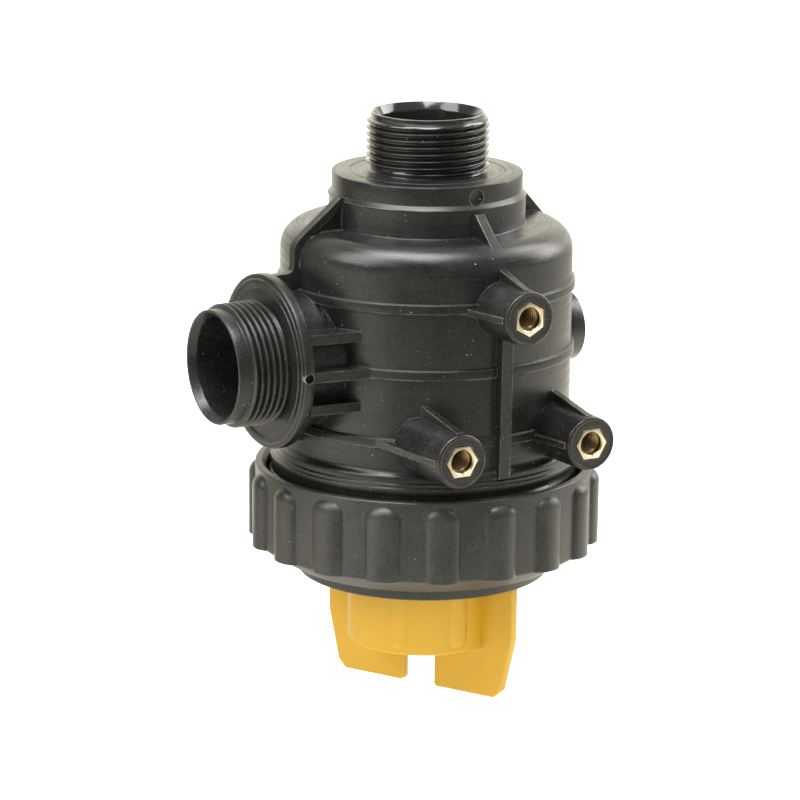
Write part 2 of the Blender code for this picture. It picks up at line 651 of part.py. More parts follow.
def port_fins(group):
    """Level fins from the body to the side port's flange, through the neck."""
    fins = []
    back = FLANGE_BACK_X + FLANGE_T / 4
    root = math.sqrt(BODY_R ** 2 - (FLANGE_R + FIN_FLARE) ** 2) - BODY_WALL / 2
    for row in (-1, 0, 1):
        z = row * FIN_PITCH
        reach = math.sqrt(FLANGE_R ** 2 - (abs(z) + FIN_T / 2) ** 2) - EDGE
        flared = reach + FIN_FLARE
        outline = [(-back, -reach), (-root, -flared), (-root, flared), (-back, reach)]
        fins.append(plate(f"fin_{row}", outline, FIN_T, group, Matrix.Translation((0, 0, z))))
    return joined("port_fins", fins, group)


def hexagon(name, flats, start_y, end_y, x, z, turn, group):
    """A hexagonal prism along Y, with a corner up when its turn is zero."""
    frame = Matrix.Translation((x, (start_y + end_y) / 2, z)) @ Matrix.Rotation(turn, 4, "Y")
    frame = frame @ Matrix.Rotation(math.radians(90), 4, "X")
    corner = flats / 2 / math.cos(math.radians(30))
    return primitive(name, group, "create_cone", frame, cap_ends=True, segments=6, radius1=corner,
                     radius2=corner, depth=abs(end_y - start_y))


def insert_turn(name):
    """The upper insert has a corner up, the lower ones a flat."""
    return 0.0 if name == "upper" else math.radians(30)


def body_cuts(group):
    """Insert pockets, the collar's recess, the flange's pin holes and the pad's sunk face."""
    cuts = []
    for name, x, z in boss_places():
        end = -BOSS_FACE_Y + INSERT_LENGTH + FACE_GAP
        flats = INSERT_FLATS + 2 * FACE_GAP
        cuts.append(hexagon(f"pocket_{name}", flats, -BOSS_FACE_Y - CUT_OVER, end, x, z, insert_turn(name),
                            group))
    rim = COLLAR_R * math.cos(math.pi / BODY_SIDES)
    cuts.append(cylinder("collar_recess", group, RECESS_R, (0, -COLLAR_R - CUT_OVER, RECESS_Z),
                         (0, -rim + RECESS_DEPTH, RECESS_Z), STEM_SIDES))
    middle = -FLANGE_X + FLANGE_T / 2
    for side in (-1, 1):
        outside = (middle, side * (FLANGE_R + CUT_OVER), 0)
        bottom = (middle, side * (FLANGE_R - PIN_HOLE_DEPTH), 0)
        cuts.append(cylinder(f"pin_hole_{side}", group, PIN_HOLE_R, outside, bottom, SCREW_SIDES))
    cuts.append(cylinder("pad_sink", group, PAD_R - PAD_RIM, (PAD_X + CUT_OVER, 0, 0),
                         (PAD_X - PAD_SINK, 0, 0)))
    return joined("body_cuts", cuts, group)


def build_body(parts, cutters, look):
    """Moulded body: barrel, collar, both ports, bosses, gussets, fins and bands."""
    result = turned("body", body_profile(), parts)
    solids = [side_flange(cutters)]
    solids.append(cylinder("pad", cutters, PAD_R, (BODY_BORE_R - BODY_WALL, 0, 0), (PAD_X, 0, 0)))
    for name, x, z in boss_places():
        solids.append(boss(f"boss_{name}", x, z, cutters))
    combine(result, joined("bosses_and_flange", solids, cutters), "UNION")
    top = threaded_port("top_port", COLLAR_TOP_Z - EMBED, TOP_LIP_Z, TOP_CREST_DROP, cutters)
    side = threaded_port("side_port", FLANGE_X - EMBED, SIDE_LIP_X, SIDE_CREST_DROP, cutters)
    combine(result, joined("threaded_ports", [top, along_x(side)], cutters), "UNION")
    combine(result, port_fins(cutters), "UNION")
    combine(result, body_webs(cutters), "UNION")
    tops = [boss_fin(f"top_fin_{name}", x, z, 0.0, cutters) for name, x, z in boss_places()]
    combine(result, joined("boss_top_fins", tops, cutters), "UNION")
    for label, angle in (("near", -90), ("far", 90)):
        fins = [boss_fin(f"{label}_fin_{name}", x, z, math.radians(angle), cutters)
                for name, x, z in boss_places()]
        combine(result, joined(f"boss_{label}_fins", fins, cutters), "UNION")
    combine(result, turned("cavity", cavity_profile(), cutters), "DIFFERENCE")
    bore_end = math.sqrt(BODY_BORE_R ** 2 - PORT_BORE_R ** 2) - EMBED
    bore = mouth_outline(SIDE_LIP_X) + [(PORT_BORE_R, bore_end), (0.0, bore_end)]
    combine(result, along_x(turned("side_bore", bore, cutters)), "DIFFERENCE")
    combine(result, body_cuts(cutters), "DIFFERENCE")
    return settle(result, look)


def build_insert(name, x, z, parts, cutters, look):
    """Brass hexagon insert with a plain bore, flush with its boss."""
    result = hexagon(f"insert_{name}", INSERT_FLATS, -BOSS_FACE_Y, -BOSS_FACE_Y + INSERT_LENGTH, x, z,
                     insert_turn(name), parts)
    bore = cylinder(f"insert_bore_{name}", cutters, INSERT_BORE_R, (x, -BOSS_FACE_Y - CUT_OVER, z),
                    (x, -BOSS_FACE_Y + INSERT_LENGTH + CUT_OVER, z), BOSS_SIDES)
    combine(result, bore, "DIFFERENCE")
    return settle(result, look)


def o_ring(name, radius, wire, z, parts, look, sides=STEM_SIDES):
    """An O-ring, turned from a round section."""
    section = [(radius + wire * math.cos(a), z + wire * math.sin(a))
               for a in (math.tau * -(i + 0.5) / RING_SIDES for i in range(RING_SIDES))]
    return settle(turned(name, section, parts, sides=sides, ring=True), look)


def flat_ring(name, inside, outside, top, bottom, parts, look):
    """A ring of rectangular section."""
    section = [(inside, top), (outside, top), (outside, bottom), (inside, bottom)]
    return settle(turned(name, section, parts, sides=INNER_SIDES, ring=True), look)


def build_seat(parts, look):
    """Valve seat: a ring under the chamber with a raised lip, and a tail for the cartridge."""
    top = SEAT_FACE_Z + SEAT_SPIGOT_H
    dish = SEAT_FACE_Z - SEAT_DISH
    lip = SEAT_BORE_R + SEAT_LIP_W
    inside = SEAT_SPIGOT_R - SEAT_SPIGOT_W
    groove = SEAT_SPIGOT_R - 2 * SEAT_RING_WIRE - RING_GAP
    half = SEAT_RING_WIRE + RING_GAP
    tail = SEAT_TAIL_R - SEAT_TAIL_WALL
    profile = [(SEAT_BORE_R, SEAT_TOP_Z), (lip, SEAT_TOP_Z), (lip + SEAT_LIP_FOOT, dish), (inside, dish)]
    profile += [(inside, top), (SEAT_SPIGOT_R, top), (SEAT_SPIGOT_R, SEAT_RING_Z + half)]
    profile += [(groove, SEAT_RING_Z + half), (groove, SEAT_RING_Z - half)]
    profile += [(SEAT_SPIGOT_R, SEAT_RING_Z - half), (SEAT_SPIGOT_R, SEAT_FACE_Z)]
    profile += [(SEAT_FLANGE_R, SEAT_FACE_Z), (SEAT_FLANGE_R, SEAT_BASE_Z), (SEAT_TAIL_R, SEAT_BASE_Z)]
    profile += [(SEAT_TAIL_R, SEAT_TAIL_Z + SEAT_TAIL_LEAD), (SEAT_TAIL_R - SEAT_TAIL_LEAD, SEAT_TAIL_Z)]
    profile += [(tail, SEAT_TAIL_Z), (tail, SEAT_BASE_Z), (SEAT_BORE_R, SEAT_BASE_Z)]
    return settle(turned("valve_seat", profile, parts, sides=INNER_SIDES, ring=True), look)


def build_poppet(parts, cutters, look):
    """Poppet: a disc with a pilot for the spring, a hub for the stem and four guide fins."""
    inside, outside = PAD_RING_R[0] - FACE_GAP, PAD_RING_R[1] + FACE_GAP
    groove_top = PAD_RING_Z + PAD_RING_T + FACE_GAP
    pilot_z = POPPET_TOP_Z + PILOT_H
    profile = [(0.0, pilot_z), (PILOT_R - PILOT_EDGE, pilot_z), (PILOT_R, pilot_z - PILOT_EDGE)]
    profile += [(PILOT_R, POPPET_TOP_Z), (POPPET_R, POPPET_TOP_Z)]
    profile += [(POPPET_R, POPPET_BASE_Z), (outside, POPPET_BASE_Z), (outside, groove_top)]
    profile += [(inside, groove_top), (inside, POPPET_BASE_Z), (POPPET_HUB_R, POPPET_BASE_Z)]
    profile += [(POPPET_HUB_R, POPPET_HUB_Z), (0.0, POPPET_HUB_Z)]
    result = turned("poppet", profile, parts, sides=INNER_SIDES)
    reach = SEAT_BORE_R - RUNNING_GAP
    outline = cross_outline(GUIDE_T / 2, reach)
    height = POPPET_BASE_Z + EDGE - GUIDE_END_Z
    frame = Matrix.Translation((0, 0, GUIDE_END_Z + height / 2))
    combine(result, plate("guide_fins", outline, height, cutters, frame), "UNION")
    return settle(result, look)


def cross_outline(half, reach):
    """A cross with four equal arms."""
    corners = [(half, -reach), (half, -half), (reach, -half)]
    outline = []
    for quarter in range(4):
        turn = turn_z(math.radians(90 * quarter))
        points = [turn @ Vector((x, y, 0.0)) for x, y in corners]
        outline += [(p.x, p.y) for p in points]
    return outline


def build_spring(parts, look):
    """Compression spring between the poppet and the chamber's roof."""
    low = POPPET_TOP_Z + FACE_GAP + SPRING_WIRE
    high = CHAMBER_TOP_Z - FACE_GAP - SPRING_WIRE
    count = int(SPRING_TURNS * SPRING_STEPS)
    curve = bpy.data.curves.new("valve_spring", "CURVE")
    curve.dimensions = "3D"
    curve.bevel_depth = SPRING_WIRE
    curve.bevel_resolution = 0
    curve.use_fill_caps = True
    spline = curve.splines.new("POLY")
    spline.points.add(count)
    for i, point in enumerate(spline.points):
        angle = math.tau * i / SPRING_STEPS
        z = low + (high - low) * i / count
        point.co = (SPRING_R * math.cos(angle), SPRING_R * math.sin(angle), z, 1.0)
    flat = bpy.data.objects.new("valve_spring_curve", curve)
    parts.objects.link(flat)
    bpy.context.view_layer.update()
    mesh = bpy.data.meshes.new_from_object(flat.evaluated_get(bpy.context.evaluated_depsgraph_get()))
    bpy.data.objects.remove(flat)
    body = bmesh.new()
    body.from_mesh(mesh)
    bmesh.ops.remove_doubles(body, verts=body.verts, dist=WELD)
    bmesh.ops.recalc_face_normals(body, faces=body.faces)
    body.to_mesh(mesh)
    body.free()
    return settle(link("valve_spring", mesh, parts), look)


def build_frame(parts, cutters, look):
    """Cartridge frame: two end rings joined by a barred cylinder."""
    inner = FRAME_R - FRAME_WALL
    neck = SEAT_TAIL_R + RUNNING_GAP
    foot = FRAME_R - LEDGE_W
    profile = [(neck, FRAME_TOP_Z), (FRAME_R, FRAME_TOP_Z), (FRAME_R, FRAME_END_Z), (foot, FRAME_END_Z)]
    profile += [(foot, FRAME_END_Z + FRAME_END_RING), (inner, FRAME_END_Z + FRAME_END_RING)]
    profile += [(inner, FRAME_TOP_Z - FRAME_TOP_RING), (neck, FRAME_TOP_Z - FRAME_TOP_RING)]
    result = turned("cartridge_frame", profile, parts, sides=INNER_SIDES, ring=True)
    low = FRAME_END_Z + FRAME_END_RING + WINDOW_BAR
    high = FRAME_TOP_Z - FRAME_TOP_RING - WINDOW_BAR
    pitch = (high - low + WINDOW_BAR) / WINDOW_ROWS
    width = math.tau * FRAME_R / WINDOW_COLUMNS - WINDOW_BAR
    windows = []
    for column in range(WINDOW_COLUMNS):
        turn = turn_z(math.tau * (column + 0.5) / WINDOW_COLUMNS)
        for row in range(WINDOW_ROWS):
            z = low + pitch * row + (pitch - WINDOW_BAR) / 2
            size = Matrix.Diagonal((FRAME_R / 4, width, pitch - WINDOW_BAR, 1.0))
            frame = turn @ Matrix.Translation((FRAME_R, 0, z)) @ size
            windows.append(primitive(f"window_{column}_{row}", cutters, "create_cube", frame, size=1.0))
    combine(result, joined("windows", windows, cutters), "DIFFERENCE")
    return settle(result, look)


def build_cover(parts, cutters, look):
    """Bottom cover: spigot with an O-ring groove, clamping rim, disc, ribs and stem hub."""
    inside = SPIGOT_INNER_R
    groove = SPIGOT_R - 2 * COVER_RING_WIRE - RING_GAP
    half = COVER_RING_WIRE + RING_GAP
    rim_z = COVER_TOP_Z - COVER_RIM_T
    floor = COVER_END_Z + COVER_FLOOR
    profile = [(inside, SPIGOT_TOP_Z), (SPIGOT_R - SPIGOT_LEAD, SPIGOT_TOP_Z)]
    profile += [(SPIGOT_R, SPIGOT_TOP_Z - SPIGOT_LEAD)]
    profile += [(SPIGOT_R, COVER_RING_Z + half), (groove, COVER_RING_Z + half)]
    profile += [(groove, COVER_RING_Z - half), (SPIGOT_R, COVER_RING_Z - half)]
    profile += [(SPIGOT_R, COVER_TOP_Z), (COVER_RIM_R, COVER_TOP_Z)]
    profile += [(COVER_RIM_R, rim_z), (COVER_HUB_R, rim_z), (COVER_HUB_R, COVER_END_Z + COVER_EDGE)]
    profile += [(COVER_HUB_R - COVER_EDGE, COVER_END_Z), (STEM_BORE_R, COVER_END_Z)]
    profile += [(STEM_BORE_R, STEM_HUB_TOP_Z), (STEM_HUB_R, STEM_HUB_TOP_Z), (STEM_HUB_R, floor)]
    profile += [(inside - LEDGE_W, floor), (inside - LEDGE_W, LEDGE_Z), (inside, LEDGE_Z)]
    result = turned("cover", profile, parts, ring=True)
    middle = (STEM_HUB_R + inside - LEDGE_W) / 2
    length = inside - LEDGE_W - STEM_HUB_R + EMBED
    ribs = []
    for i in range(COVER_RIBS):
        size = Matrix.Diagonal((length, COVER_RIB_T, COVER_RIB_H + EMBED / 2, 1.0))
        place = Matrix.Translation((middle, 0, floor + COVER_RIB_H / 2 - EMBED / 4))
        frame = turn_z(math.tau * (i + 0.5) / COVER_RIBS) @ place @ size
        ribs.append(primitive(f"cover_rib_{i}", cutters, "create_cube", frame, size=1.0))
    combine(result, joined("cover_ribs", ribs, cutters), "UNION")
    return settle(result, look)


def nut_rib(name, angle, group):
    """One raised grip of the ring nut: a half-round column with a domed top."""
    body = bmesh.new()
    bmesh.ops.create_uvsphere(body, u_segments=RIB_SIDES, v_segments=RIB_SIDES // 2, radius=1.0)
    bmesh.ops.delete(body, geom=[vert for vert in body.verts if vert.co.z < -EDGE], context="VERTS")
    for vert in body.verts:
        vert.co.x = max(NUT_R + RIB_PROUD + RIB_DEPTH * (vert.co.x - 1), NUT_R - EMBED)
        vert.co.y *= RIB_W / 2
        vert.co.z = RIB_TOP_Z + RIB_DOME * (vert.co.z - 1)
    rim = [edge for edge in body.edges if edge.is_boundary]
    pulled = bmesh.ops.extrude_edge_only(body, edges=rim)["geom"]
    for vert in [item for item in pulled if isinstance(item, bmesh.types.BMVert)]:
        vert.co.z = NUT_EDGE_Z
    bmesh.ops.holes_fill(body, edges=[edge for edge in body.edges if edge.is_boundary])
    bmesh.ops.recalc_face_normals(body, faces=body.faces)
    body.transform(turn_z(angle))
    mesh = bpy.data.meshes.new(name)
    body.to_mesh(mesh)
    body.free()
    return link(name, mesh, group)


def build_nut(parts, cutters, look):
    """Ring nut: coned under its edge, with raised grips round the wall."""
    profile = [(NUT_BORE_R + NUT_BEVEL, NUT_TOP_Z), (NUT_R - NUT_EDGE, NUT_TOP_Z)]
    profile += [(NUT_R, NUT_TOP_Z - NUT_EDGE), (NUT_R, NUT_EDGE_Z + NUT_EDGE)]
    profile += [(NUT_R - NUT_EDGE, NUT_EDGE_Z), (NUT_CONE_R, NUT_END_Z + EDGE)]
    profile += [(NUT_CONE_R - EDGE, NUT_END_Z), (NUT_HOLE_R, NUT_END_Z), (NUT_HOLE_R, NUT_FLOOR_Z)]
    profile += [(NUT_BORE_R, NUT_FLOOR_Z), (NUT_BORE_R, NUT_TOP_Z - NUT_BEVEL)]
    result = turned("ring_nut", profile, parts, sides=NUT_SIDES, ring=True)
    ribs = [nut_rib(f"nut_rib_{i}", math.tau * i / RIB_COUNT, cutters) for i in range(RIB_COUNT)]
    combine(result, joined("nut_ribs", ribs, cutters), "UNION")
    settle(result, look).matrix_world = turn_z(RIB_PHASE)
    return result


def build_stem(parts, cutters, look):
    """Stem from the knob through the cover to the poppet, with two O-ring grooves."""
    groove = STEM_R - 2 * STEM_RING_WIRE - RING_GAP
    half = STEM_RING_WIRE + RING_GAP
    profile = [(0.0, STEM_TOP_Z), (STEM_TOP_R - STEM_EDGE, STEM_TOP_Z), (STEM_TOP_R, STEM_TOP_Z - STEM_EDGE)]
    profile += [(STEM_TOP_R, STEM_STEP_Z + STEM_R - STEM_TOP_R), (STEM_R, STEM_STEP_Z)]
    for rise in STEM_RING_RISE:
        z = COVER_END_Z + rise
        profile += [(STEM_R, z + half), (groove, z + half), (groove, z - half), (STEM_R, z - half)]
    profile += [(STEM_R, STEM_END_Z), (0.0, STEM_END_Z)]
    result = turned("valve_stem", profile, parts, sides=STEM_SIDES)
    hole = cylinder("stem_hole", cutters, SCREW_R + FACE_GAP, (0, 0, STEM_END_Z - CUT_OVER),
                    (0, 0, COUNTERSINK_Z + SCREW_LENGTH + EMBED), STEM_SIDES)
    combine(result, hole, "DIFFERENCE")
    return settle(result, look)


def grip(name, angle, group):
    """A raised upright grip on the knob, rounded at its lower end."""
    body = bmesh.new()
    bmesh.ops.create_uvsphere(body, u_segments=10, v_segments=6, radius=1.0)
    low = KNOB_END_Z + GRIP_END + GRIP_W / 2
    high = KNOB_TOP_Z - GRIP_TOP - GRIP_W / 2
    for vert in body.verts:
        vert.co.x *= GRIP_PROUD * 2
        vert.co.y *= GRIP_W / 2
        vert.co.z = vert.co.z * GRIP_W / 2 + (high if vert.co.z > EDGE else low)
    body.transform(turn_z(angle) @ Matrix.Translation((KNOB_R - GRIP_PROUD, 0, 0)))
    mesh = bpy.data.meshes.new(name)
    body.to_mesh(mesh)
    body.free()
    return link(name, mesh, group)


def wing_outline():
    """Outline of one wing, in radius and height."""
    root = (WING_GAP_R + KNOB_R) / 2
    outline = [(root, WING_TOP_Z), (WING_R, WING_TOP_Z), (WING_R, WING_BEND_Z)]
    outline += [(WING_TIP_R, WING_END_Z + WING_CORNER), (WING_TIP_R - WING_CORNER, WING_END_Z)]
    outline += [(WING_GAP_R + WING_INNER_CORNER, WING_END_Z), (WING_GAP_R, WING_END_Z + WING_INNER_CORNER)]
    return outline + [(WING_GAP_R, KNOB_END_Z + EMBED / 2), (root, KNOB_END_Z + EMBED / 2)]


def build_knob(parts, cutters, look):
    """Knob: a ribbed drum with two wings, bored for the stem and its screw."""
    profile = [(0.0, KNOB_TOP_Z), (KNOB_R - KNOB_EDGE, KNOB_TOP_Z), (KNOB_R, KNOB_TOP_Z - KNOB_EDGE)]
    profile += [(KNOB_R, KNOB_END_Z + KNOB_EDGE), (KNOB_R - KNOB_EDGE, KNOB_END_Z), (0.0, KNOB_END_Z)]
    result = turned("knob", profile, parts)
    grips = []
    for side in (-1, 1):
        for i in range(GRIP_COUNT):
            angle = WING_ANGLE + side * math.pi / 2 + GRIP_TURN + (i - (GRIP_COUNT - 1) / 2) * GRIP_SPACING
            grips.append(grip(f"grip_{side}_{i}", angle, cutters))
    combine(result, joined("grips", grips, cutters), "UNION")
    wings = [plate(f"wing_{turn}", wing_outline(), WING_T, cutters, upright(WING_ANGLE + math.radians(turn)))
             for turn in (0, 180)]
    combine(result, joined("wings", wings, cutters), "UNION")
    web_top = COUNTERSINK_Z + SCREW_WEB
    bore = [(0.0, KNOB_TOP_Z + CUT_OVER), (STEM_BORE_R, KNOB_TOP_Z + CUT_OVER), (STEM_BORE_R, web_top)]
    bore += [(SCREW_R + FACE_GAP, web_top), (SCREW_R + FACE_GAP, COUNTERSINK_Z)]
    bore += [(SCREW_HEAD_R + FACE_GAP, COUNTERSINK_Z), (SCREW_HEAD_R + FACE_GAP, KNOB_END_Z - CUT_OVER)]
    bore += [(0.0, KNOB_END_Z - CUT_OVER)]
    combine(result, turned("knob_bore", bore, cutters, sides=STEM_SIDES), "DIFFERENCE")
    return settle(result, look)


def build_screw(parts, cutters, look):
    """Screw that holds the knob on the stem, with a cross slot."""
    head_top = COUNTERSINK_Z - FACE_GAP
    head_low = head_top - SCREW_HEAD_T
    tip = head_top + SCREW_LENGTH
    profile = [(0.0, tip), (SCREW_R - SCREW_TIP, tip), (SCREW_R, tip - SCREW_TIP), (SCREW_R, head_top)]
    profile += [(SCREW_HEAD_R, head_top), (SCREW_HEAD_R, head_low + SCREW_HEAD_EDGE)]
    profile += [(SCREW_HEAD_R - SCREW_HEAD_EDGE, head_low), (0.0, head_low)]
    result = turned("knob_screw", profile, parts, sides=SCREW_SIDES)
    frame = Matrix.Translation((0, 0, head_low))
    slot = plate("screw_cross", cross_outline(SLOT_T / 2, SLOT_R), 2 * SLOT_DEPTH, cutters, frame)
    combine(result, slot, "DIFFERENCE")
    return settle(result, look)


def marker(name, place, group):
    """An empty on a joint axis, which carries the pieces that the joint moves."""
    result = bpy.data.objects.new(name, None)
    result.empty_display_size = MARKER_SIZE
    result.location = place
    group.objects.link(result)
    return result


def main():
    for item in list(bpy.data.objects):
        bpy.data.objects.remove(item)
    parts = collection("Suction filter")
    cutters = collection("Cutters")
    black = material("Black glass-filled polypropylene", "2c2b2a", 0.42)
    grey = material("Dark grey acetal", "4a4a48", 0.45)
    yellow = material("Yellow moulded nylon", "eeb52c", 0.38)
    brass = material("Turned brass", "dfc48c", 0.28, 1.0)
    rubber = material("Black nitrile rubber", "191919", 0.7)
    steel = material("Stainless steel", "b9bab8", 0.3, 1.0)
    blue = material("Blue cartridge plastic", "2f5d9c", 0.45)
    gauze = material("Stainless steel gauze", "a9aaa6", 0.5, 1.0)
    build_body(parts, cutters, black)
    for name, x, z in boss_places():
        build_insert(name, x, z, parts, cutters, brass)
    build_seat(parts, grey)
    o_ring("seat_o_ring", SEAT_SPIGOT_R - SEAT_RING_WIRE, SEAT_RING_WIRE, SEAT_RING_Z, parts, rubber,
           INNER_SIDES)
    valve = marker("valve_axis", (0, 0, SEAT_TOP_Z), parts)
    on_axis(build_poppet(parts, cutters, grey), valve)
    pad = flat_ring("poppet_gasket", *PAD_RING_R, PAD_RING_Z + PAD_RING_T, PAD_RING_Z, parts, rubber)
    on_axis(pad, valve)
    build_spring(parts, steel)
    lid = marker("cover_axis", (0, 0, COVER_TOP_Z), parts)
    on_axis(build_cover(parts, cutters, black), lid)
    on_axis(o_ring("cover_o_ring", SPIGOT_R - COVER_RING_WIRE, COVER_RING_WIRE, COVER_RING_Z, parts, rubber,
                   BODY_SIDES), lid)
    on_axis(build_frame(parts, cutters, blue), lid)
    inner = FRAME_R - FRAME_WALL - FACE_GAP
    on_axis(flat_ring("filter_mesh", inner - MESH_T, inner, FRAME_TOP_Z - FRAME_TOP_RING - FACE_GAP,
                      FRAME_END_Z + FRAME_END_RING + FACE_GAP, parts, gauze), lid)
    on_axis(flat_ring("gasket_upper", SEAT_TAIL_R + GASKET_BORE_GAP, SEAT_FLANGE_R - GASKET_MARGIN,
                      SEAT_BASE_Z - FACE_GAP, FRAME_TOP_Z + FACE_GAP, parts, rubber), lid)
    outside = FRAME_R - GASKET_MARGIN
    on_axis(flat_ring("gasket_lower", outside - GASKET_W, outside, FRAME_END_Z - FACE_GAP,
                      LEDGE_Z + FACE_GAP, parts, rubber), lid)
    on_axis(build_nut(parts, cutters, black), marker("nut_axis", (0, 0, NUT_TOP_Z), parts))
    stem = marker("stem_axis", (0, 0, COVER_END_Z), parts)
    on_axis(build_stem(parts, cutters, steel), stem)
    for label, rise in zip(("upper", "lower"), STEM_RING_RISE):
        ring_z = COVER_END_Z + rise
        ring = o_ring(f"stem_o_ring_{label}", STEM_R - STEM_RING_WIRE, STEM_RING_WIRE, ring_z, parts, rubber)
        on_axis(ring, stem)
    grip_axis = marker("knob_axis", (0, 0, KNOB_TOP_Z), parts)
    on_axis(build_knob(parts, cutters, yellow), grip_axis)
    on_axis(build_screw(parts, cutters, steel), grip_axis)


main()
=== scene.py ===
import json
import math

import bmesh
import bpy
from mathutils import Matrix, Vector


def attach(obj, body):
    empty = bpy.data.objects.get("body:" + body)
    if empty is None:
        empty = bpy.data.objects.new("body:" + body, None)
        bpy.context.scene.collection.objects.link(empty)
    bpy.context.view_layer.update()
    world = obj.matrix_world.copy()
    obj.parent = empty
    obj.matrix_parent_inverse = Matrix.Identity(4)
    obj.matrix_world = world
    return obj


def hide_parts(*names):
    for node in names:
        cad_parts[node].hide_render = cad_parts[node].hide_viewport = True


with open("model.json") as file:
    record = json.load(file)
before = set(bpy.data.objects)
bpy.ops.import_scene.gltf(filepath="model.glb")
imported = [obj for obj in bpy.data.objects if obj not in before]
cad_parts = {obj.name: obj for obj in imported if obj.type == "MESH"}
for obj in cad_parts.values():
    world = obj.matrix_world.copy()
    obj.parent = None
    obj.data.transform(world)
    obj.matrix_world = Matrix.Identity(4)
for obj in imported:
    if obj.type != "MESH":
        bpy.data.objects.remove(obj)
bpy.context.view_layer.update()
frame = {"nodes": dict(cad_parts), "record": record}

scene = bpy.context.scene
mm = 0.001          # pieces are modelled in millimetres and scaled when they are finished
sideways = Matrix.Rotation(math.radians(-90), 4, "Y")   # +Z to -X, for the side port
rightwards = Matrix.Rotation(math.radians(90), 4, "Y")  # +Z to +X, for the blank pad
forwards = Matrix.Rotation(math.radians(90), 4, "X")    # +Z to -Y and +Y up, for bosses and plates

# camera, fitted to the photograph's turned edges
cameraSizes = {
    "place": (-0.6802, -1.1487, 0.3157),
    "turn": -30.27,     # about Z, from looking along +Y
    "tilt": 75.85,      # from looking straight down
    "roll": 0.63,
    "lens": 180.0,
}

cameraData = bpy.data.cameras.new("camera")
cameraData.lens = cameraSizes["lens"]
cameraData.sensor_width = 36.0
camera = bpy.data.objects.new("camera", cameraData)
scene.collection.objects.link(camera)
camera.matrix_world = (Matrix.Translation(cameraSizes["place"])
                       @ Matrix.Rotation(math.radians(cameraSizes["turn"]), 4, "Z")
                       @ Matrix.Rotation(math.radians(cameraSizes["tilt"]), 4, "X")
                       @ Matrix.Rotation(math.radians(cameraSizes["roll"]), 4, "Z"))
scene.camera = camera
scene.view_settings.view_transform = "Standard"
print("camera placed")


# materials

# an sRGB colour such as "2b2a29" as the linear one that the shader takes
def toLinear(colour):
    channels = [int(colour[i:i + 2], 16) / 255 for i in (0, 2, 4)]
    return tuple(c / 12.92 if c <= 0.04045 else ((c + 0.055) / 1.055) ** 2.4 for c in channels) + (1.0,)


# sockets go by name or number, and take a value, another node or one of a node's outputs
def setSockets(node, sockets):
    for key, value in sockets.items():
        if isinstance(value, bpy.types.Node):
            value = next(output for output in value.outputs if output.enabled)
        if isinstance(value, bpy.types.NodeSocket):
            node.id_data.links.new(value, node.inputs[key])
        else:
            node.inputs[key].default_value = value


def addNode(tree, kind, sockets=None, **settings):
    node = tree.nodes.new("ShaderNode" + kind)
    for key, value in settings.items():
        setattr(node, key, value)
    setSockets(node, sockets or {})
    return node


def startMaterial(name, colour, roughness, **values):
    look = bpy.data.materials.new(name)
    look.use_nodes = True
    shader = look.node_tree.nodes["Principled BSDF"]
    setSockets(shader, {"Base Color": toLinear(colour), "Roughness": roughness})
    setSockets(shader, {key.replace("_", " "): value for key, value in values.items()})
    look.diffuse_color = toLinear(colour)
    return look, look.node_tree, shader


# what the moulded plastics share, unless their own settings say otherwise
moulded = {
    "driftSize": 0.01, "grainSize": 0.0005, "mottle": 0.3, "bump": 0.1, "bumpHeight": 0.00006,
    "edgeRadius": 0.0003,
    "grainFade": (0.32, 0.68), "driftFade": (0.3, 0.7), "ringFade": (0.35, 0.65), "highlightPatchFade": (0.4, 0.62),
    "edgeFade": (0.9, 0.5),     # how open an edge is where its painted highlight starts, and where it is full
    "samples": 6,
    "polishedEdge": 0.4,        # rounding of the edges that are polished, as a share of the others'
    "polishedBump": 0.1, "coat": 0.3, "coatRoughness": 0.07,
}


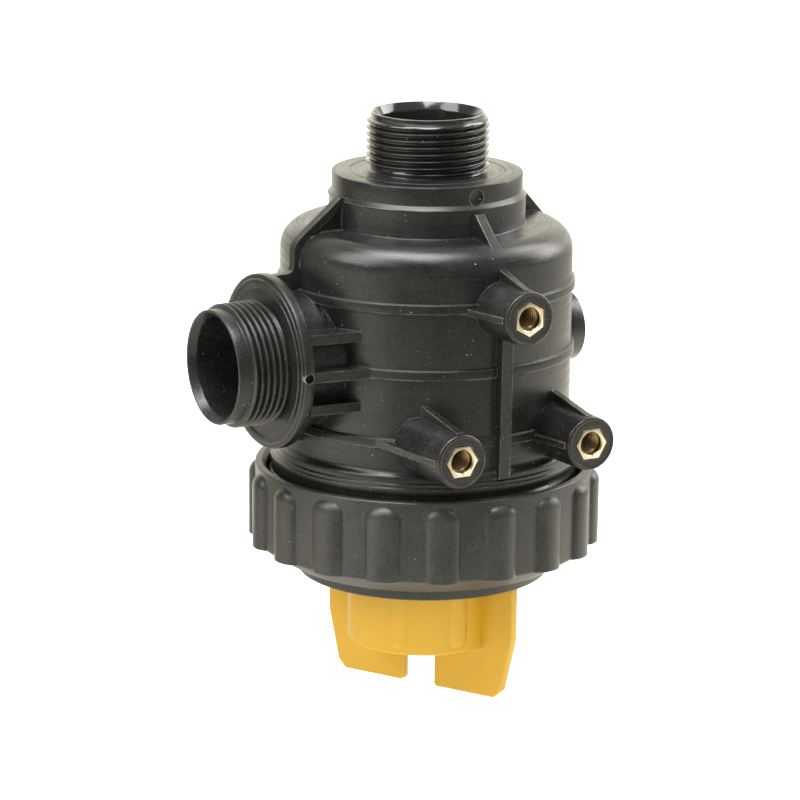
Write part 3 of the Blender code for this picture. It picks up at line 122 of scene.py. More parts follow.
def makeMouldedPlastic(name, ownSizes):
    sizes = {**moulded, **ownSizes}
    look, tree, shader = startMaterial(name, sizes["colour"], sizes["roughness"][0], IOR=sizes["ior"])
    place = addNode(tree, "TexCoord").outputs["Object"]
    polished = "glossAbove" in sizes    # only one of them has rings below a height and a polish above it
    if polished:
        parts = addNode(tree, "SeparateXYZ", {"Vector": place})
        above = addNode(tree, "Math", {0: parts.outputs["Z"], 1: sizes["glossAbove"]},
                        operation="GREATER_THAN")
        below = addNode(tree, "Math", {0: parts.outputs["Z"], 1: sizes["glossAbove"]}, operation="LESS_THAN")

    # a slow drift and a fine mottle between two colours
    drift = addNode(tree, "TexNoise", {"Vector": place, "Scale": 1 / sizes["driftSize"], "Detail": 3.0})
    grain = addNode(tree, "TexNoise", {"Vector": place, "Scale": 1 / sizes["grainSize"], "Detail": 3.0,
                                       "Roughness": 0.65})
    mottle = addNode(tree, "MapRange", {"Value": grain, "From Min": sizes["grainFade"][0],
                                        "From Max": sizes["grainFade"][1]})
    mixed = addNode(tree, "Math", {0: mottle, 1: sizes["mottle"], 2: drift}, operation="MULTIPLY_ADD")
    shifted = addNode(tree, "Math", {0: mixed, 1: sizes["mottle"] / 2}, operation="SUBTRACT", use_clamp=True)
    base = addNode(tree, "Mix", {0: shifted, 6: toLinear(sizes["colour"]),
                                 7: toLinear(sizes["driftColour"])}, data_type="RGBA")

    # pale flecks in some of the cells
    if "speckColour" in sizes:
        cells = addNode(tree, "TexVoronoi", {"Vector": place, "Scale": 1 / sizes["speckSpacing"]})
        near = addNode(tree, "MapRange", {"Value": cells, "From Min": sizes["speckReach"],
                                          "From Max": sizes["speckReach"] / 2})
        chosen = addNode(tree, "MapRange", {"Value": cells.outputs["Color"], "From Min": sizes["speckRare"],
                                            "From Max": 1.0})
        amount = addNode(tree, "Math", {0: near, 1: chosen}, operation="MULTIPLY")
        base = addNode(tree, "Mix", {0: amount, 6: base, 7: toLinear(sizes["speckColour"])}, data_type="RGBA")

    # edges rounded, and painted lighter in patches as a highlight where they aren't polished
    soft = addNode(tree, "Bevel", {"Radius": sizes["edgeRadius"]}, samples=sizes["samples"])
    if polished:
        kept = sizes["polishedEdge"] * sizes["edgeRadius"]
        setSockets(soft, {"Radius": addNode(tree, "Math", {0: below, 1: sizes["edgeRadius"] - kept, 2: kept},
                                            operation="MULTIPLY_ADD")})
    if "edgeHighlightColour" in sizes:
        proud = addNode(tree, "AmbientOcclusion", {"Distance": sizes["edgeReach"]},
                        samples=sizes["samples"], inside=True, only_local=True)
        patchy = addNode(tree, "TexNoise", {"Vector": place, "Scale": 1 / sizes["highlightPatchSize"]})
        limit = addNode(tree, "MapRange", {"Value": patchy, "From Min": sizes["highlightPatchFade"][0],
                                           "From Max": sizes["highlightPatchFade"][1],
                                           "To Min": sizes["edgeHighlightShare"][0], "To Max": sizes["edgeHighlightShare"][1]})
        if polished:
            limit = addNode(tree, "Math", {0: limit, 1: below}, operation="MULTIPLY")
        # painted highlight: the sharper the convex edge, the more of the pale colour
        paintedHighlight = addNode(tree, "MapRange", {"Value": proud.outputs["AO"], "From Min": sizes["edgeFade"][0],
                                            "From Max": sizes["edgeFade"][1], "To Max": limit})
        base = addNode(tree, "Mix", {0: paintedHighlight, 6: base, 7: toLinear(sizes["edgeHighlightColour"])}, data_type="RGBA")

    # the drift in the gloss, and the grain as relief
    gloss = addNode(tree, "MapRange", {"Value": drift, "From Min": sizes["driftFade"][0],
                                       "From Max": sizes["driftFade"][1], "To Min": sizes["roughness"][0],
                                       "To Max": sizes["roughness"][1]})
    bump = addNode(tree, "Bump", {"Strength": sizes["bump"], "Distance": sizes["bumpHeight"],
                                  "Height": grain, "Normal": soft})

    if polished:
        # rings of gloss round the main axis: a noise with its X along the turn, squeezed
        flat = addNode(tree, "CombineXYZ", {"X": parts.outputs["X"], "Y": parts.outputs["Y"]})
        radius = addNode(tree, "VectorMath", {0: flat}, operation="LENGTH")
        turn = addNode(tree, "Math", {0: parts.outputs["Y"], 1: parts.outputs["X"]}, operation="ARCTAN2")
        wrap = addNode(tree, "Math", {0: turn, 1: 2 * sizes["ringSpacing"]}, operation="MULTIPLY")
        rolled = addNode(tree, "CombineXYZ", {"X": wrap, "Y": radius, "Z": parts.outputs["Z"]})
        rings = addNode(tree, "TexNoise", {"Vector": rolled, "Scale": 1 / sizes["ringSpacing"],
                                           "Detail": 2.0})
        streaks = addNode(tree, "MapRange", {"Value": rings, "From Min": sizes["ringFade"][0],
                                             "From Max": sizes["ringFade"][1],
                                             "To Min": -sizes["ringGloss"], "To Max": sizes["ringGloss"]})
        gloss = addNode(tree, "Math", {0: gloss, 1: streaks}, operation="ADD")

        # the polish: smoother, with less grain and a thin clear skin
        gloss = addNode(tree, "Mix", {0: above, 2: gloss, 3: sizes["glossRoughness"]})
        strength = addNode(tree, "Math", {0: above, 1: sizes["polishedBump"] - sizes["bump"],
                                          2: sizes["bump"]}, operation="MULTIPLY_ADD")
        setSockets(bump, {"Strength": strength})
        coat = addNode(tree, "Math", {0: above, 1: sizes["coat"]}, operation="MULTIPLY")
        setSockets(shader, {"Coat Weight": coat, "Coat Roughness": sizes["coatRoughness"]})
    setSockets(shader, {"Base Color": base, "Roughness": gloss, "Normal": bump})
    return look


# Glass-filled polypropylene, injection moulded: satin black, mottled with a fine grain where the
# glass lies under the skin, pale flecks, a painted highlight along the edges, and a polished finish on the top
# port.
blackPlastic = makeMouldedPlastic("Glass-filled polypropylene, moulded", {
    "colour": "0d0d0d", "driftColour": "292826", "driftSize": 0.014, "grainSize": 0.0007, "mottle": 0.8,
    "roughness": (0.26, 0.36), "ior": 1.54, "bump": 0.6, "bumpHeight": 0.00008, "edgeRadius": 0.00055,
    "speckColour": "d8d4c8", "speckSpacing": 0.0024, "speckReach": 0.095, "speckRare": 0.5,
    "edgeHighlightColour": "b4b1a6", "edgeHighlightShare": (0.08, 0.38), "edgeReach": 0.0004, "highlightPatchSize": 0.006,
    "ringSpacing": 0.0009, "ringGloss": 0.05, "glossAbove": 0.06, "glossRoughness": 0.14,
})
# The same plastic from the nut's mould: more matt, a shade greyer, with a painted highlight along its edges.
greyBlackPlastic = makeMouldedPlastic("Glass-filled polypropylene, matt moulded", {
    "colour": "1a1a18", "driftColour": "393833", "driftSize": 0.014, "grainSize": 0.0007, "mottle": 0.8,
    "roughness": (0.35, 0.45), "ior": 1.54, "bump": 0.6, "bumpHeight": 0.00008,
    "speckColour": "d8d4c8", "speckSpacing": 0.0027, "speckReach": 0.08, "speckRare": 0.6,
    "edgeHighlightColour": "a8a69e", "edgeHighlightShare": (0.12, 0.5), "edgeReach": 0.0005, "highlightPatchSize": 0.006,
})
# Nylon, injection moulded: warm yellow with a satin skin, its tone drifting slowly at random.
yellowPlastic = makeMouldedPlastic("Yellow nylon, moulded", {
    "colour": "d2a31a", "driftColour": "cb9c22", "driftSize": 0.02, "grainSize": 0.0006,
    "roughness": (0.4, 0.5), "ior": 1.5, "edgeRadius": 0.0004,
    # the edges painted paler as a highlight
    "edgeHighlightColour": "ffe28e", "edgeHighlightShare": (0.5, 0.85), "edgeReach": 0.0007, "highlightPatchSize": 0.008,
})
# Acetal, injection moulded: dark grey and slightly waxy.
greyPlastic = makeMouldedPlastic("Dark grey acetal, moulded", {
    "colour": "3d3d3c", "driftColour": "494947", "roughness": (0.34, 0.42), "ior": 1.48,
})
# Polypropylene, injection moulded: the blue that marks the cartridge's mesh.
bluePlastic = makeMouldedPlastic("Blue polypropylene, moulded", {
    "colour": "2a568f", "driftColour": "33629d", "roughness": (0.36, 0.44), "ior": 1.49,
})
# Nitrile rubber, moulded: deep matt black.
rubber = makeMouldedPlastic("Nitrile rubber, moulded", {
    "colour": "151515", "driftColour": "1e1e1d", "driftSize": 0.004, "grainSize": 0.0003, "mottle": 0.4,
    "roughness": (0.6, 0.75), "ior": 1.52, "bump": 0.2, "edgeRadius": 0.0002,
})

# Free-cutting brass, turned: pale gold with fine tool marks, a painted highlight on its crests, and duller,
# darker brown inside the tapped hole, where the brown is partly oil and partly painted shade.
brassSizes = {
    "colour": "fff3da", "tarnish": "eedbb2", "driftSize": 0.003,
    "shade": "8a6a3e", "face": -0.0671, "faceFade": 0.0006, "roughness": (0.3, 0.38),
    "crest": "fff0cc", "crestReach": 0.0006, "crestFade": (0.8, 0.55), "samples": 8,
    "markSize": 0.00035, "bump": 0.15, "bumpHeight": 0.00005,
}
brass, tree, shader = startMaterial("Brass, turned", brassSizes["colour"], brassSizes["roughness"][0],
                                    Metallic=1.0)
place = addNode(tree, "TexCoord").outputs["Object"]
drift = addNode(tree, "TexNoise", {"Vector": place, "Scale": 1 / brassSizes["driftSize"]})
tone = addNode(tree, "Mix", {0: drift, 6: toLinear(brassSizes["colour"]),
                             7: toLinear(brassSizes["tarnish"])}, data_type="RGBA")
depth = addNode(tree, "SeparateXYZ", {"Vector": place}).outputs["Y"]
# painted shade, partly oil: past the face, into the tapped hole, the brass turns darker brown
inside = addNode(tree, "MapRange", {"Value": depth, "From Min": brassSizes["face"],
                                    "From Max": brassSizes["face"] + brassSizes["faceFade"]})
oiledAndShaded = addNode(tree, "Mix", {0: inside, 6: tone, 7: toLinear(brassSizes["shade"])}, data_type="RGBA")
# painted highlight: the crests, found by occlusion inside the metal, mixed towards a pale colour
proud = addNode(tree, "AmbientOcclusion", {"Distance": brassSizes["crestReach"]},
                samples=brassSizes["samples"], inside=True, only_local=True)
paintedHighlight = addNode(tree, "MapRange", {"Value": proud.outputs["AO"], "From Min": brassSizes["crestFade"][0],
                                    "From Max": brassSizes["crestFade"][1]})
bright = addNode(tree, "Mix", {0: paintedHighlight, 6: oiledAndShaded, 7: toLinear(brassSizes["crest"])}, data_type="RGBA")
rough = addNode(tree, "MapRange", {"Value": inside, "To Min": brassSizes["roughness"][0],
                                   "To Max": brassSizes["roughness"][1]})
marks = addNode(tree, "TexNoise", {"Vector": place, "Scale": 1 / brassSizes["markSize"]})
bump = addNode(tree, "Bump", {"Strength": brassSizes["bump"], "Distance": brassSizes["bumpHeight"],
                              "Height": marks})
setSockets(shader, {"Base Color": bright, "Roughness": rough, "Normal": bump})

# Stainless steel, turned bright: fine rings across the axis.
steelSizes = {
    "colour": "bcbcb9", "plainRoughness": 0.26, "roughness": (0.2, 0.36),
    "marks": (300.0, 300.0, 9000.0),    # to the metre across the axis and along it
    "bump": 0.2, "bumpHeight": 0.00004,
}
steel, tree, shader = startMaterial("Stainless steel, turned", steelSizes["colour"],
                                    steelSizes["plainRoughness"], Metallic=1.0)
place = addNode(tree, "TexCoord").outputs["Object"]
rings = addNode(tree, "Mapping", {"Vector": place, "Scale": steelSizes["marks"]})
marks = addNode(tree, "TexNoise", {"Vector": rings, "Scale": 1.0})
bump = addNode(tree, "Bump", {"Strength": steelSizes["bump"], "Distance": steelSizes["bumpHeight"],
                              "Height": marks})
rough = addNode(tree, "MapRange", {"Value": marks, "To Min": steelSizes["roughness"][0],
                                   "To Max": steelSizes["roughness"][1]})
setSockets(shader, {"Roughness": rough, "Normal": bump})

# Stainless steel gauze, plain woven: bright wires over holes painted dark as the shade seen through them. The
# real cloth has a wire every 0.4 mm, drawn here every 0.8 mm so that it shows.
gauzeSizes = {
    "wireEvery": 0.0008, "radius": 0.0375, "colour": "a9aaa6", "roughness": 0.42,
    "hole": "1b1c1c", "wire": "b6b7b3", "wireFade": (-0.2, 0.6), "bump": 0.6, "bumpHeight": 0.0002,
}
gauze, tree, shader = startMaterial("Stainless steel gauze, woven", gauzeSizes["colour"],
                                    gauzeSizes["roughness"], Metallic=1.0)
place = addNode(tree, "TexCoord").outputs["Object"]
parts = addNode(tree, "SeparateXYZ", {"Vector": place})
angle = addNode(tree, "Math", {0: parts.outputs["Y"], 1: parts.outputs["X"]}, operation="ARCTAN2")
around = addNode(tree, "Math", {0: angle,
                                1: round(math.tau * gauzeSizes["radius"] / gauzeSizes["wireEvery"])},
                                operation="MULTIPLY")
along = addNode(tree, "Math", {0: parts.outputs["Z"], 1: math.tau / gauzeSizes["wireEvery"]},
                operation="MULTIPLY")
warp = addNode(tree, "Math", {0: around}, operation="SINE")
weft = addNode(tree, "Math", {0: along}, operation="SINE")
wires = addNode(tree, "Math", {0: warp, 1: weft}, operation="MAXIMUM")
shade = addNode(tree, "MapRange", {"Value": wires, "From Min": gauzeSizes["wireFade"][0],
                                   "From Max": gauzeSizes["wireFade"][1]})
# the holes' colour is painted shade, as seen through the weave
tone = addNode(tree, "Mix", {0: shade, 6: toLinear(gauzeSizes["hole"]), 7: toLinear(gauzeSizes["wire"])},
               data_type="RGBA")
bump = addNode(tree, "Bump", {"Strength": gauzeSizes["bump"], "Distance": gauzeSizes["bumpHeight"],
                              "Height": shade})
setSockets(shader, {"Base Color": tone, "Normal": bump})

looks = {"black_plastic": blackPlastic, "dark_grey_plastic": greyPlastic, "yellow_plastic": yellowPlastic,
         "blue_plastic": bluePlastic, "brass": brass, "rubber": rubber, "steel": steel, "gauze": gauze}
for subpart in frame["record"]["subparts"]:
    node = frame["nodes"][subpart["node"]]
    for slot in node.material_slots:
        slot.material = looks[subpart["material_slot"]]
print("materials made")


# tools for the pieces

def toObject(name, bm):
    bmesh.ops.remove_doubles(bm, verts=bm.verts, dist=0.0005)
    bmesh.ops.recalc_face_normals(bm, faces=bm.faces)
    mesh = bpy.data.meshes.new(name)
    bm.to_mesh(mesh)
    bm.free()
    piece = bpy.data.objects.new(name, mesh)
    scene.collection.objects.link(piece)
    return piece


# X outwards at an angle about Z, Y up
def upright(degrees):
    return Matrix.Rotation(math.radians(degrees), 4, "Z") @ forwards


# corners are (radius, height) or (radius, height, rounding): rounded, then spun about Z
def makeTurned(name, corners, steps=144, closed=False, place=Matrix.Identity(4)):
    bm = bmesh.new()
    verts = [bm.verts.new((corner[0], 0, corner[1])) for corner in corners]
    for start, end in zip(verts, verts[1:] + verts[:1] if closed else verts[1:]):
        bm.edges.new((start, end))
    roundings = {}
    for vert, corner in zip(verts, corners):
        if len(corner) > 2:
            roundings.setdefault(corner[2], []).append(vert)
    for size, group in roundings.items():
        bmesh.ops.bevel(bm, geom=group, offset=size, offset_type="OFFSET", affect="VERTICES",
                        segments=2 if size < 0.6 else 4 if size < 2 else 10, profile=0.5, material=-1)
    bmesh.ops.spin(bm, geom=bm.verts[:] + bm.edges[:], cent=(0, 0, 0), axis=(0, 0, 1), angle=math.tau,
                   steps=steps, use_merge=True)
    bm.transform(place)
    return toObject(name, bm)


# an outline in the XY plane given a thickness about that plane, its edges rounded
def makePlate(name, outline, thickness, place, edge=0.45):
    bm = bmesh.new()
    face = bm.faces.new([bm.verts.new((x, y, -thickness / 2)) for x, y in outline])
    pulled = bmesh.ops.extrude_face_region(bm, geom=[face])["geom"]
    bmesh.ops.translate(bm, verts=[item for item in pulled if isinstance(item, bmesh.types.BMVert)],
                        vec=(0, 0, thickness))
    bmesh.ops.recalc_face_normals(bm, faces=bm.faces)
    if edge:
        bmesh.ops.bevel(bm, geom=bm.edges[:], offset=edge, offset_type="OFFSET", affect="EDGES", segments=2,
                        profile=0.5, material=-1)
    bm.transform(place)
    return toObject(name, bm)


# a ridge swept along a helix, right-handed, that fades into its root at both ends
def makeRidge(name, sizes, place=Matrix.Identity(4)):
    root, crest = sizes["root"], sizes["crest"]
    sunk = root - math.copysign(0.25, crest - root)     # starts inside the surface, so that the two join
    rootHalf, crestHalf = sizes["rootHalf"], sizes["crestHalf"]
    slope = (crest - root) * 0.85
    section = [(sunk, -rootHalf), (root, -rootHalf), (root + slope, -crestHalf), (crest, -crestHalf * 0.45),
               (crest, crestHalf * 0.45), (root + slope, crestHalf), (root, rootHalf), (sunk, rootHalf)]
    steps = round(sizes["turns"] * sizes["perTurn"])
    bm = bmesh.new()
    face = bm.faces.new([bm.verts.new((radius, 0, sizes["start"] + height)) for radius, height in section])
    bmesh.ops.spin(bm, geom=[face] + face.verts[:] + face.edges[:], cent=(0, 0, 0), axis=(0, 0, 1),
                   dvec=(0, 0, sizes["pitch"] / sizes["perTurn"]), angle=math.tau * steps / sizes["perTurn"],
                   steps=steps)
    bm.verts.ensure_lookup_table()
    for index, vert in enumerate(bm.verts):
        step = index // len(section)
        fade = min(1.0, step / (sizes["fadeIn"] * sizes["perTurn"]),
                   (steps - step) / (sizes["fadeOut"] * sizes["perTurn"]))
        radius = math.hypot(vert.co.x, vert.co.y)
        wanted = sunk + (radius - sunk) * fade
        if "tip" in sizes:
            wanted = min(wanted, sizes["tipRadius"] + (sizes["tip"] - vert.co.z) * sizes["tipSlope"])
        vert.co.x *= wanted / radius
        vert.co.y *= wanted / radius
    bm.transform(place @ Matrix.Rotation(math.radians(sizes["angle"]), 4, "Z"))
    return toObject(name, bm)


def combine(target, tools, operation):
    for tool in tools:
        step = target.modifiers.new(tool.name, "BOOLEAN")
        step.operation = operation
        step.solver = "MANIFOLD"
        step.object = tool
    bpy.context.view_layer.update()
    mesh = bpy.data.meshes.new_from_object(target.evaluated_get(bpy.context.evaluated_depsgraph_get()))
    target.modifiers.clear()
    target.data = mesh
    for tool in tools:
        bpy.data.objects.remove(tool)


# several closed shapes that don't touch, as one object
def joinPieces(name, pieces):
    bm = bmesh.new()
    for piece in pieces:
        bm.from_mesh(piece.data)
        bpy.data.objects.remove(piece)
    return toObject(name, bm)


def finishPiece(piece, body, slotName, *nodes, sharp=38, look=None):
    bm = bmesh.new()
    bm.from_mesh(piece.data)
    bmesh.ops.remove_doubles(bm, verts=bm.verts, dist=0.002)
    bmesh.ops.dissolve_degenerate(bm, edges=bm.edges, dist=0.002)
    bmesh.ops.recalc_face_normals(bm, faces=bm.faces)
    bmesh.ops.scale(bm, vec=(mm, mm, mm), verts=bm.verts)
    bm.to_mesh(piece.data)
    bm.free()
    piece.data.materials.clear()
    piece.data.materials.append(look or looks[slotName])
    piece.data.shade_smooth()
    piece.data.set_sharp_from_angle(angle=math.radians(sharp))
    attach(piece, body)
    if nodes:
        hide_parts(*nodes)
    print("made", piece.name, len(piece.data.polygons))


# body
port = {
    "core": 19.45, "crest": 20.95, "lip": 19.35, "lipEdge": 0.35, "foot": 0.5,
    "bore": 16.8, "mouthWide": 1.8, "mouthOver": 0.69, "mouthDeep": 2.6, "mouthEdge": 0.4,
    "pitch": 2.309, "rootHalf": 0.98, "crestHalf": 0.34, "perTurn": 120, "fadeIn": 0.35, "fadeOut": 0.2,
    "leadStart": 0.6, "leadLong": 2.6,      # the cone that the first turns rise out of
}
topPort = {"lip": 80.05, "firstCrest": 77.6, "turns": 7.7, "angle": -120.6}
sidePort = {
    "lip": 82.1, "firstCrest": 77.1, "turns": 6.2, "angle": 0.0,
    "flange": 63.5, "flangeRadius": 29.6, "flangeThick": 4.2, "flangeEdge": 0.5, "backEdge": 0.45,
    "neck": 23.6, "neckFoot": 0.6, "root": 37.0, "boreEnd": 40.8,
    "ring": 25.5, "ringHalf": 0.45, "rimLine": 27.7, "rimSlope": 0.3, "grooveDeep": 0.4,
    "finThick": 3.4, "finPitch": 12.0, "finReach": 28.3, "middleReach": 32.0, "finSunk": 2.0, "finInset": 0.3,
    "pinHole": 1.6, "pinDeep": 2.2,
}
barrel = {
    "radius": 49.9, "wall": 3.9, "shoulder": 42.4, "fillet": 8.9, "end": -63.0, "endEdge": 0.6,
    "bands": (22.4, 0.0, -23.6), "bandTall": 3.2, "bandProud": 1.0, "bandEdge": 0.35,
    "undercut": 0.2, "undercutTall": (0.1, 0.25, 0.3),
    # the skirt: radius, height from its top, and a rounding where it has one
    "skirtTop": -36.4, "skirtEnd": -40.4, "skirtEdge": 0.3,
    "skirtSteps": ((49.9, 3.0, 0.9), (51.6, 1.6, 0.5), (51.6, -0.4), (52.4, -0.6), (52.4, -1.7), (53.0, -1.9)),
    # the coarse thread under the nut
    "core": 52.5, "crest": 54.0, "pitch": 6.0, "rootHalf": 2.0, "crestHalf": 1.1, "threadStart": 2.4,
    "turns": 2.9, "fade": 0.15,
}
collar = {
    "top": 59.9, "radius": 32.5, "edge": 0.4, "lowRadius": 33.8, "step": 52.1, "stepTall": 1.5,
    "stepChamfer": 0.3, "ring": 26.4, "ringDeep": 0.35, "foot": 0.5,
    "chamber": 29.5, "chamberTop": 55.5, "chamberEdge": 0.8, "chamberEnd": 26.0, "chamberWall": 33.0,
    "recess": 2.65, "recessDeep": 1.3, "recessHigh": 55.8, "recessEdge": 0.3,
}
# blank pad at the back, dished inside its rim: radius, distance from the main axis, rounding
pad = [(0, 56.3), (10.4, 56.3, 0.4), (10.9, 57.5, 0.4), (12.5, 57.5, 0.5), (12.5, 42), (0, 42)]
boss = {
    "face": 67.3, "tip": 9.1, "taper": 0.03, "edge": 0.7, "sunk": 0.5,
    "places": {"upper": (0.0, 21.4), "left": (-25.1, -23.8), "right": (25.1, -23.8)},
    "rim": 0.95, "rimFoot": 1.1, "dish": 0.2,
    "finThick": 2.2, "finInner": 2, "finReach": 13.3, "finRise": 0.3, "finStop": 2.0, "finSlope": 5,
}
insert = {
    "flats": 10.3, "edge": 0.25, "deep": 13.0, "pocketWide": 0.6, "pocketDeep": 1.3,
    "bore": 3.32, "root": 3.95, "pitch": 1.25, "rootHalf": 0.5, "crestHalf": 0.2, "perTurn": 48,
    "fadeIn": 0.3, "fadeOut": 0.4, "threadDeep": 12.2, "turns": 9.0,
    "sinkWide": 0.9, "sinkDeep": 0.4, "boreDeep": 14,
}
cutLong = 6     # of the small round cuts, from their floor outwards


# outer corners of a threaded port from its lip down to its face
def portCorners(lip, root):
    return [(0, lip), (port["lip"], lip, port["lipEdge"]), (port["core"], root, port["foot"])]


# the bore's corners, with its mouth's cone carried 1 mm past the lip
def boreCorners(lip):
    return [(0, lip + 1), (port["bore"] + port["mouthWide"] + port["mouthOver"], lip + 1),
            (port["bore"], lip - port["mouthDeep"], port["mouthEdge"])]


def portThread(name, sizes, place=Matrix.Identity(4)):
    return makeRidge(name, {
        "root": port["core"], "crest": port["crest"], "pitch": port["pitch"], "rootHalf": port["rootHalf"],
        "crestHalf": port["crestHalf"], "perTurn": port["perTurn"], "fadeIn": port["fadeIn"],
        "fadeOut": port["fadeOut"], "turns": sizes["turns"],
        "start": sizes["firstCrest"] - sizes["turns"] * port["pitch"] + 0.5 * port["pitch"],
        "angle": sizes["angle"] + 180 - 360 * (sizes["turns"] % 1),
        "tip": sizes["lip"] - port["leadStart"], "tipRadius": port["lip"],
        "tipSlope": (port["crest"] - port["lip"]) / (port["leadLong"] - port["leadStart"])}, place)


bandCorners = []
for middle in barrel["bands"]:
    high, low = middle + barrel["bandTall"] / 2, middle - barrel["bandTall"] / 2
    outer, under = barrel["radius"] + barrel["bandProud"], barrel["radius"] - barrel["undercut"]
    rise, drop, end = barrel["undercutTall"]
    bandCorners += [(barrel["radius"], high), (outer, high, barrel["bandEdge"]), (outer, low),
                    (under, low + rise), (under, low - drop), (barrel["radius"], low - end)]
skirtCorners = [(radius, barrel["skirtTop"] + rise, *rounding)
                for radius, rise, *rounding in barrel["skirtSteps"]]
body = makeTurned("fineBody", [
    *portCorners(topPort["lip"], collar["top"]),
    (collar["ring"] - collar["ringDeep"], collar["top"]), (collar["ring"], collar["top"] - collar["ringDeep"]),
    (collar["ring"] + collar["ringDeep"], collar["top"]), (collar["radius"], collar["top"], collar["edge"]),
    (collar["radius"], collar["step"] + collar["stepTall"]), (collar["lowRadius"], collar["step"]),
    (collar["lowRadius"] - collar["stepChamfer"], collar["step"] - collar["stepChamfer"]),
    (collar["lowRadius"] - collar["stepChamfer"], barrel["shoulder"], collar["foot"]),
    (barrel["radius"], barrel["shoulder"], barrel["fillet"]), *bandCorners, *skirtCorners,
    (skirtCorners[-1][0], barrel["skirtEnd"], barrel["skirtEdge"]), (barrel["core"], barrel["skirtEnd"] - 0.1),
    (barrel["core"], barrel["end"], barrel["endEdge"]), (0, barrel["end"])], steps=160)

flange = sidePort["flange"]
flangeBack = flange - sidePort["flangeThick"]
additions = [makeTurned("portSolid", [
    *portCorners(sidePort["lip"], flange),
    (sidePort["ring"] - sidePort["ringHalf"], flange), (sidePort["ring"], flange - sidePort["grooveDeep"]),
    (sidePort["ring"] + sidePort["ringHalf"], flange), (sidePort["rimLine"], flange),
    (sidePort["rimLine"] + sidePort["rimSlope"], flange - sidePort["grooveDeep"]),
    (sidePort["flangeRadius"], flange - sidePort["grooveDeep"], sidePort["flangeEdge"]),
    (sidePort["flangeRadius"], flangeBack, sidePort["backEdge"]),
    (sidePort["neck"], flangeBack, sidePort["neckFoot"]), (sidePort["neck"], sidePort["root"]),
    (0, sidePort["root"])], steps=144, place=sideways)]
additions.append(portThread("topThread", topPort))
additions.append(portThread("sideThread", sidePort, sideways))
additions.append(makeRidge("maleThread", {
    "root": barrel["core"], "crest": barrel["crest"], "pitch": barrel["pitch"], "rootHalf": barrel["rootHalf"],
    "crestHalf": barrel["crestHalf"], "start": barrel["end"] + barrel["threadStart"],
    "turns": barrel["turns"], "perTurn": port["perTurn"], "fadeIn": barrel["fade"], "fadeOut": barrel["fade"],
    "angle": 0.0}))
additions.append(makeTurned("padSolid", pad, steps=64, place=rightwards))

for label, (x, z) in boss["places"].items():
    root = math.sqrt(barrel["radius"] ** 2 - x ** 2) - barrel["wall"] + boss["sunk"]
    base = boss["tip"] + boss["taper"] * (boss["face"] - root)
    additions.append(makeTurned(f"boss_{label}", [
        (0, boss["face"] - boss["dish"]), (boss["tip"] - boss["rimFoot"], boss["face"] - boss["dish"]),
        (boss["tip"] - boss["rim"], boss["face"]), (boss["tip"], boss["face"], boss["edge"]),
        (base, root), (0, root)], steps=72, place=Matrix.Translation((x, 0, z)) @ forwards))
combine(body, additions, "UNION")

# level fins between the side port's flange and the barrel
finEnd = flangeBack + 1.0
fins = []
for row in (-1, 0, 1):
    level = row * sidePort["finPitch"]
    edgeZ = abs(level) + sidePort["finThick"] / 2
    atFlange = math.sqrt(sidePort["flangeRadius"] ** 2 - edgeZ ** 2) - sidePort["finInset"]
    reach = sidePort["finReach"] if row else sidePort["middleReach"]
    edgeX = math.sqrt(barrel["radius"] ** 2 - reach ** 2) - sidePort["finSunk"]
    fins.append(makePlate(f"fin_{row + 2}", [
        (-finEnd, -atFlange), (-edgeX, -reach), (-edgeX, reach), (-finEnd, atFlange)],
        sidePort["finThick"], Matrix.Translation((0, 0, level)), edge=0))
combine(body, fins, "UNION")


# height of the shoulder's fillet at a radius
def shoulderAt(radius):
    past = radius - barrel["radius"] + barrel["fillet"]
    return barrel["shoulder"] - barrel["fillet"] + math.sqrt(barrel["fillet"] ** 2 - past ** 2)


# upright plates between the collar and the shoulder; outlines are (radius, height)
gusset = {"thick": 3.4, "inner": 31.0, "sunk": 2, "sideTop": 53.5, "frontTop": 50.6, "ledge": 0.8, "foot": 3.0,
          "toeLong": 2.6, "toeDeep": 2.2}
# the one over the side port runs down to its neck, hollow on both sides
web = {
    "proud": 2.4, "bend": 6.0, "bendAt": (48, 36, 24, 12, 0),
    "flare": ((0, 31.6), (0.7, 30.2), (2.2, 29.5)),     # past its outer face
    "neck": [(60.3, 29.3), (60.3, 22), (47.5, 22), (47.5, 33.5)],
    "under": [(47, -21.5), (60.3, -21.5), (60.3, -28.6), (47, -28.6)],
    "bar": 2.3, "thin": 1.2, "cutDeep": 2.0, "cutIn": 0.4, "cutOver": 0.2, "cutLow": 31.0, "cutHigh": 33.5,
    "cutCorner": (2.0, 3.2), "cutAlong": (0.6, 2.0, 4.5, 8.0),
}
strake = {"outline": [(47.5, 15), (54.2, 15), (53.2, -36.0), (47.5, -36.0)], "thick": 4.2}
webs = []
foot = barrel["radius"] - gusset["foot"]
root = (gusset["inner"], barrel["shoulder"] - gusset["sunk"])
for angle, top in ((0, gusset["sideTop"]), (-90, gusset["frontTop"]), (90, gusset["frontTop"])):
    outline = [(gusset["inner"], top), (collar["lowRadius"] + gusset["ledge"], top),
               (foot, shoulderAt(foot) - 0.3), (foot - gusset["toeLong"], shoulderAt(foot) - gusset["toeDeep"]),
               root]
    webs.append(makePlate(f"gusset_{angle}", outline, gusset["thick"], upright(angle), edge=0))
outside = barrel["radius"] + web["proud"]
bendX, bendZ = outside - web["bend"], barrel["shoulder"] - web["bend"]
webOutline = [(gusset["inner"], gusset["sideTop"]), (collar["lowRadius"] + gusset["ledge"], gusset["sideTop"])]
webOutline += [(bendX + web["bend"] * math.cos(math.radians(a)), bendZ + web["bend"] * math.sin(math.radians(a)))
               for a in web["bendAt"]]
webOutline += [(outside + past, height) for past, height in web["flare"]] + web["neck"] + [root]
